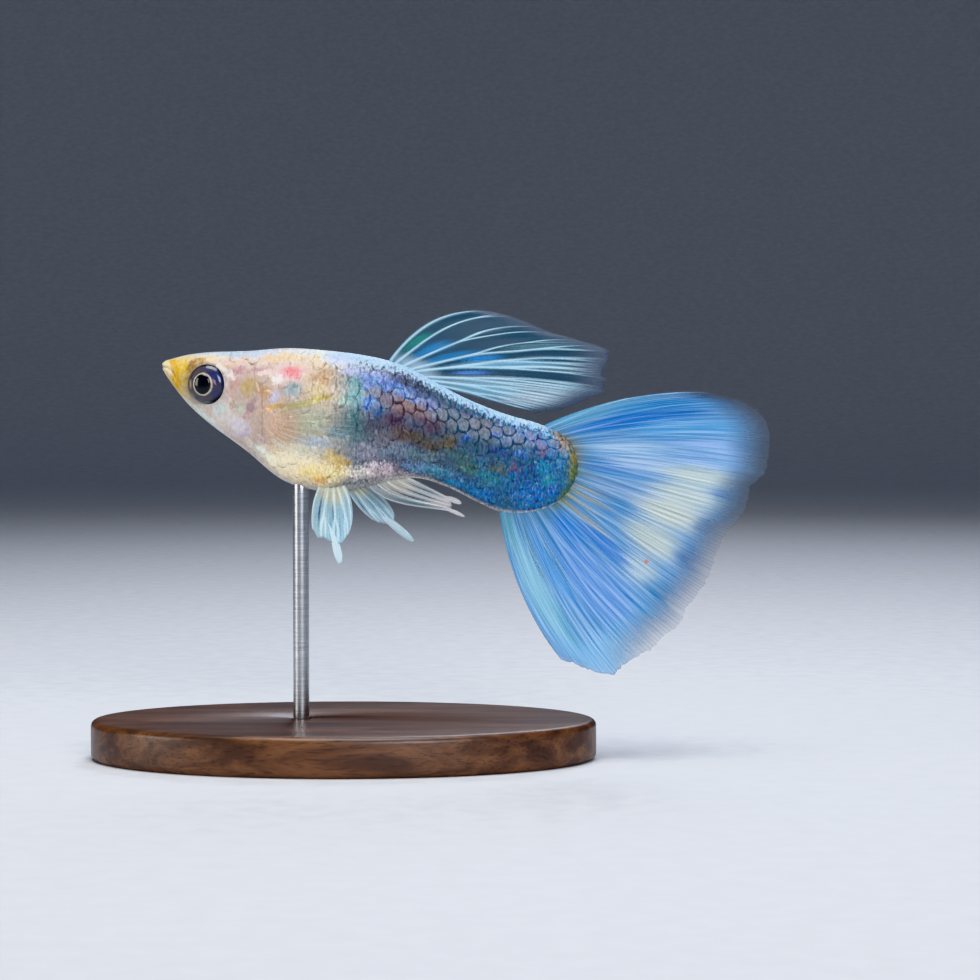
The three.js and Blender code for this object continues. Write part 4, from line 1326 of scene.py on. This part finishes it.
def closed_rings(name, rings, sides, bottom, top):
    """A mesh from rings of points, lowest inside first, closed at both ends to a point."""
    points = np.vstack(rings + [[bottom], [top]])
    return new_piece(name, points - SNOUT / MM, closed_tube(len(rings), sides))


arc = np.linspace(0, math.pi / 2, 8)
rings = [oval_ring(BASE_WIDTH / 2 - 0.5, 0.0), oval_ring(4.0, 0.0)]
rings += [oval_ring(BASE_EASE * (1 - math.sin(a)), BASE_EASE * (1 - math.cos(a))) for a in arc]
for a in arc:
    rings.append(oval_ring(BASE_EASE * (1 - math.cos(a)), BASE_HEIGHT - BASE_EASE * (1 - math.sin(a))))
rings += [
    oval_ring(4.0, BASE_HEIGHT),
    round_ring(HOLE_RADIUS + HOLE_EASE, BASE_HEIGHT, BASE_SIDES),
    round_ring(HOLE_RADIUS, BASE_HEIGHT - HOLE_EASE, BASE_SIDES),
    round_ring(HOLE_RADIUS, BASE_HEIGHT - HOLE_DEPTH, BASE_SIDES),
]
hole_floor = [ROD_BACK, 0, BASE_HEIGHT - HOLE_DEPTH]
stand_base = closed_rings("stand_base", rings, BASE_SIDES, [0, 0, 0], hole_floor)


GRAIN_PER_METRE = (60.0, 620.0, 620.0)  # grain lines are 1.6 mm wide and about 17 mm long
PORES_PER_METRE = (700.0, 6000.0, 6000.0)  # pores are 0.17 mm wide and 1.4 mm long


def walnut_material():
    """Oiled walnut: dark brown, with long wavering grain and fine open pores along the oval."""
    material, tree, shader = new_material(
        "waxed walnut", Roughness=0.42, Coat_Weight=0.25, Coat_Roughness=0.25
    )
    places = add_node(tree, "TexCoord")
    grain_place = add_node(
        tree, "Mapping", links={"Vector": places.outputs["Object"]}, Scale=GRAIN_PER_METRE
    )
    grain = add_node(
        tree, "TexNoise", links={"Vector": grain_place},
        Scale=1.0, Detail=6.0, Roughness=0.6, Distortion=0.8,
    )
    brown = colour_ramp(
        tree, grain.outputs["Fac"],
        [(0.25, "#2b1a11"), (0.45, "#4a2f1f"), (0.6, "#6a472f"), (0.75, "#7d583b")],
    )
    pore_place = add_node(
        tree, "Mapping", links={"Vector": places.outputs["Object"]}, Scale=PORES_PER_METRE
    )
    pores = add_node(tree, "TexNoise", links={"Vector": pore_place}, Scale=1.0, Detail=2.0)
    pore_dark = add_node(
        tree, "MapRange", links={"Value": pores.outputs["Fac"]}, From_Min=0.32, From_Max=0.45, To_Min=0.55
    )
    wood = add_node(tree, "HueSaturation", links={"Value": pore_dark, "Color": brown})
    tree.links.new(wood.outputs["Color"], shader.inputs["Base Color"])
    bump = add_node(tree, "Bump", links={"Height": pore_dark}, Strength=0.3, Distance=0.00003)
    tree.links.new(bump.outputs[0], shader.inputs["Normal"])
    return material


stand_base.data.materials.append(walnut_material())
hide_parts("stand_base")
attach(stand_base, "root")


# The stand's rod.
# One straight rod of ground stainless steel, pressed into the base and let into a small hole in the belly.
ROD_SIDES = 48
ROD_EASE = 0.15
rod_low, rod_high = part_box("stand_rod")
rod_bottom = rod_low[2] / MM
rod_top = rod_high[2] / MM
rings = [round_ring(ROD_RADIUS - ROD_EASE, rod_bottom, ROD_SIDES)]
for height in np.linspace(rod_bottom + ROD_EASE, rod_top - ROD_EASE, 12):
    rings.append(round_ring(ROD_RADIUS, height, ROD_SIDES))
rings.append(round_ring(ROD_RADIUS - ROD_EASE, rod_top, ROD_SIDES))
stand_rod = closed_rings("stand_rod", rings, ROD_SIDES, [ROD_BACK, 0, rod_bottom], [ROD_BACK, 0, rod_top])


RINGS_PER_METRE = (300.0, 300.0, 9000.0)  # grinding rings 0.11 mm apart, coarser than life to show


def ground_steel_material():
    """Centreless-ground stainless steel: pale grey, with fine rings round the rod."""
    material, tree, shader = new_material("ground stainless steel", Metallic=1.0)
    places = add_node(tree, "TexCoord")
    stretched = add_node(tree, "Mapping", links={"Vector": places.outputs["Object"]}, Scale=RINGS_PER_METRE)
    ground = add_node(tree, "TexNoise", links={"Vector": stretched}, Scale=1.0, Detail=3.0)
    tone = colour_ramp(tree, ground.outputs["Fac"], [(0.3, "#a3a6aa"), (0.7, "#c9ccd0")])
    tree.links.new(tone, shader.inputs["Base Color"])
    rough = add_node(tree, "MapRange", links={"Value": ground.outputs["Fac"]}, To_Min=0.22, To_Max=0.42)
    tree.links.new(rough.outputs[0], shader.inputs["Roughness"])
    return material


stand_rod.data.materials.append(ground_steel_material())
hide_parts("stand_rod")
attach(stand_rod, "root")


# The studio.
# A pale matt floor that curves up, far out, into a round wall, so that no edge shows from any side. Soft
# lights stand near the fish, so the far floor falls into a grey that the pale fins stand out against.
FLOOR_RINGS = (0.1, 0.25)
FLOOR_FLAT = 0.5
COVE_RADIUS = 0.4
WALL_TOP = 1.2
FLOOR_SIDES = 96
rise = np.linspace(0, math.pi / 2, 16)
profile = [(reach, 0.0) for reach in FLOOR_RINGS]
profile += [(FLOOR_FLAT + COVE_RADIUS * math.sin(a), COVE_RADIUS * (1 - math.cos(a))) for a in rise]
profile.append((FLOOR_FLAT + COVE_RADIUS, WALL_TOP))
floor_turn = np.linspace(0, 2 * math.pi, FLOOR_SIDES, endpoint=False)
floor_points = [(0.0, 0.0, 0.0)]
for reach, height in profile:
    floor_points += [(reach * math.cos(a), reach * math.sin(a), height) for a in floor_turn]
floor_faces = (grid_faces(len(profile), FLOOR_SIDES, closed=True) + 1).tolist()
floor_faces += [[0, 1 + k, 1 + (k + 1) % FLOOR_SIDES] for k in range(FLOOR_SIDES)]
floor_mesh = bpy.data.meshes.new("floor")
floor_mesh.from_pydata(floor_points, [], [f[::-1] if len(f) == 4 else f for f in floor_faces])
floor_mesh.shade_smooth()
floor = bpy.data.objects.new("floor", floor_mesh)
bpy.context.collection.objects.link(floor)
material, tree, shader = new_material("pale matt floor", Roughness=0.85)
speckle = add_node(tree, "TexNoise", Scale=900.0, Detail=3.0)
tone = colour_ramp(tree, speckle.outputs["Fac"], [(0.3, "#cbced3"), (0.7, "#d4d7dc")])
tree.links.new(tone, shader.inputs["Base Color"])
floor.data.materials.append(material)

world = bpy.data.worlds.new("studio air")
world.use_nodes = True
world.node_tree.nodes["Background"].inputs["Color"].default_value = hex_colour("#949aa6")
world.node_tree.nodes["Background"].inputs["Strength"].default_value = 0.6
bpy.context.scene.world = world
bpy.context.scene.view_settings.view_transform = "Khronos PBR Neutral"

FISH_MIDDLE = np.array([0.009, 0.0, 0.024])
LIGHT_SPREAD = math.radians(100)  # each light stays on the fish and the floor about it


def soft_light(name, place, size, watts, colour):
    """A square soft light aimed at the fish."""
    light = bpy.data.lights.new(name, "AREA")
    light.size = size
    light.spread = LIGHT_SPREAD
    light.energy = watts
    light.color = hex_colour(colour)[:3]
    lamp = bpy.data.objects.new(name, light)
    lamp.location = place
    lamp.rotation_mode = "QUATERNION"
    lamp.rotation_quaternion = mathutils.Vector(FISH_MIDDLE - np.array(place)).to_track_quat("-Z", "Y")
    bpy.context.collection.objects.link(lamp)


soft_light("top softbox", (0.0, -0.05, 0.3), 0.2, 0.27, "#ffffff")
soft_light("front softbox", (0.13, -0.36, 0.15), 0.17, 0.28, "#fdfbff")
soft_light("side softbox", (-0.34, -0.15, 0.08), 0.17, 0.16, "#fffaf2")
soft_light("rim softbox", (0.08, 0.3, 0.3), 0.2, 0.22, "#e8f0ff")

camera_data = bpy.data.cameras.new("camera")
camera_data.lens = 100
camera_data.sensor_width = 36
camera_data.clip_start = 0.01
camera = bpy.data.objects.new("camera", camera_data)
CAMERA_AIM = mathutils.Vector((0.011, 0.0, 0.0202))
CAMERA_DISTANCE = 0.2042
CAMERA_RAISED = math.radians(2.5)
away = mathutils.Vector((0, -math.cos(CAMERA_RAISED), math.sin(CAMERA_RAISED)))
camera.location = CAMERA_AIM + away * CAMERA_DISTANCE
camera.rotation_euler = (math.radians(90) - CAMERA_RAISED, 0, 0)
bpy.context.collection.objects.link(camera)
bpy.context.scene.camera = camera
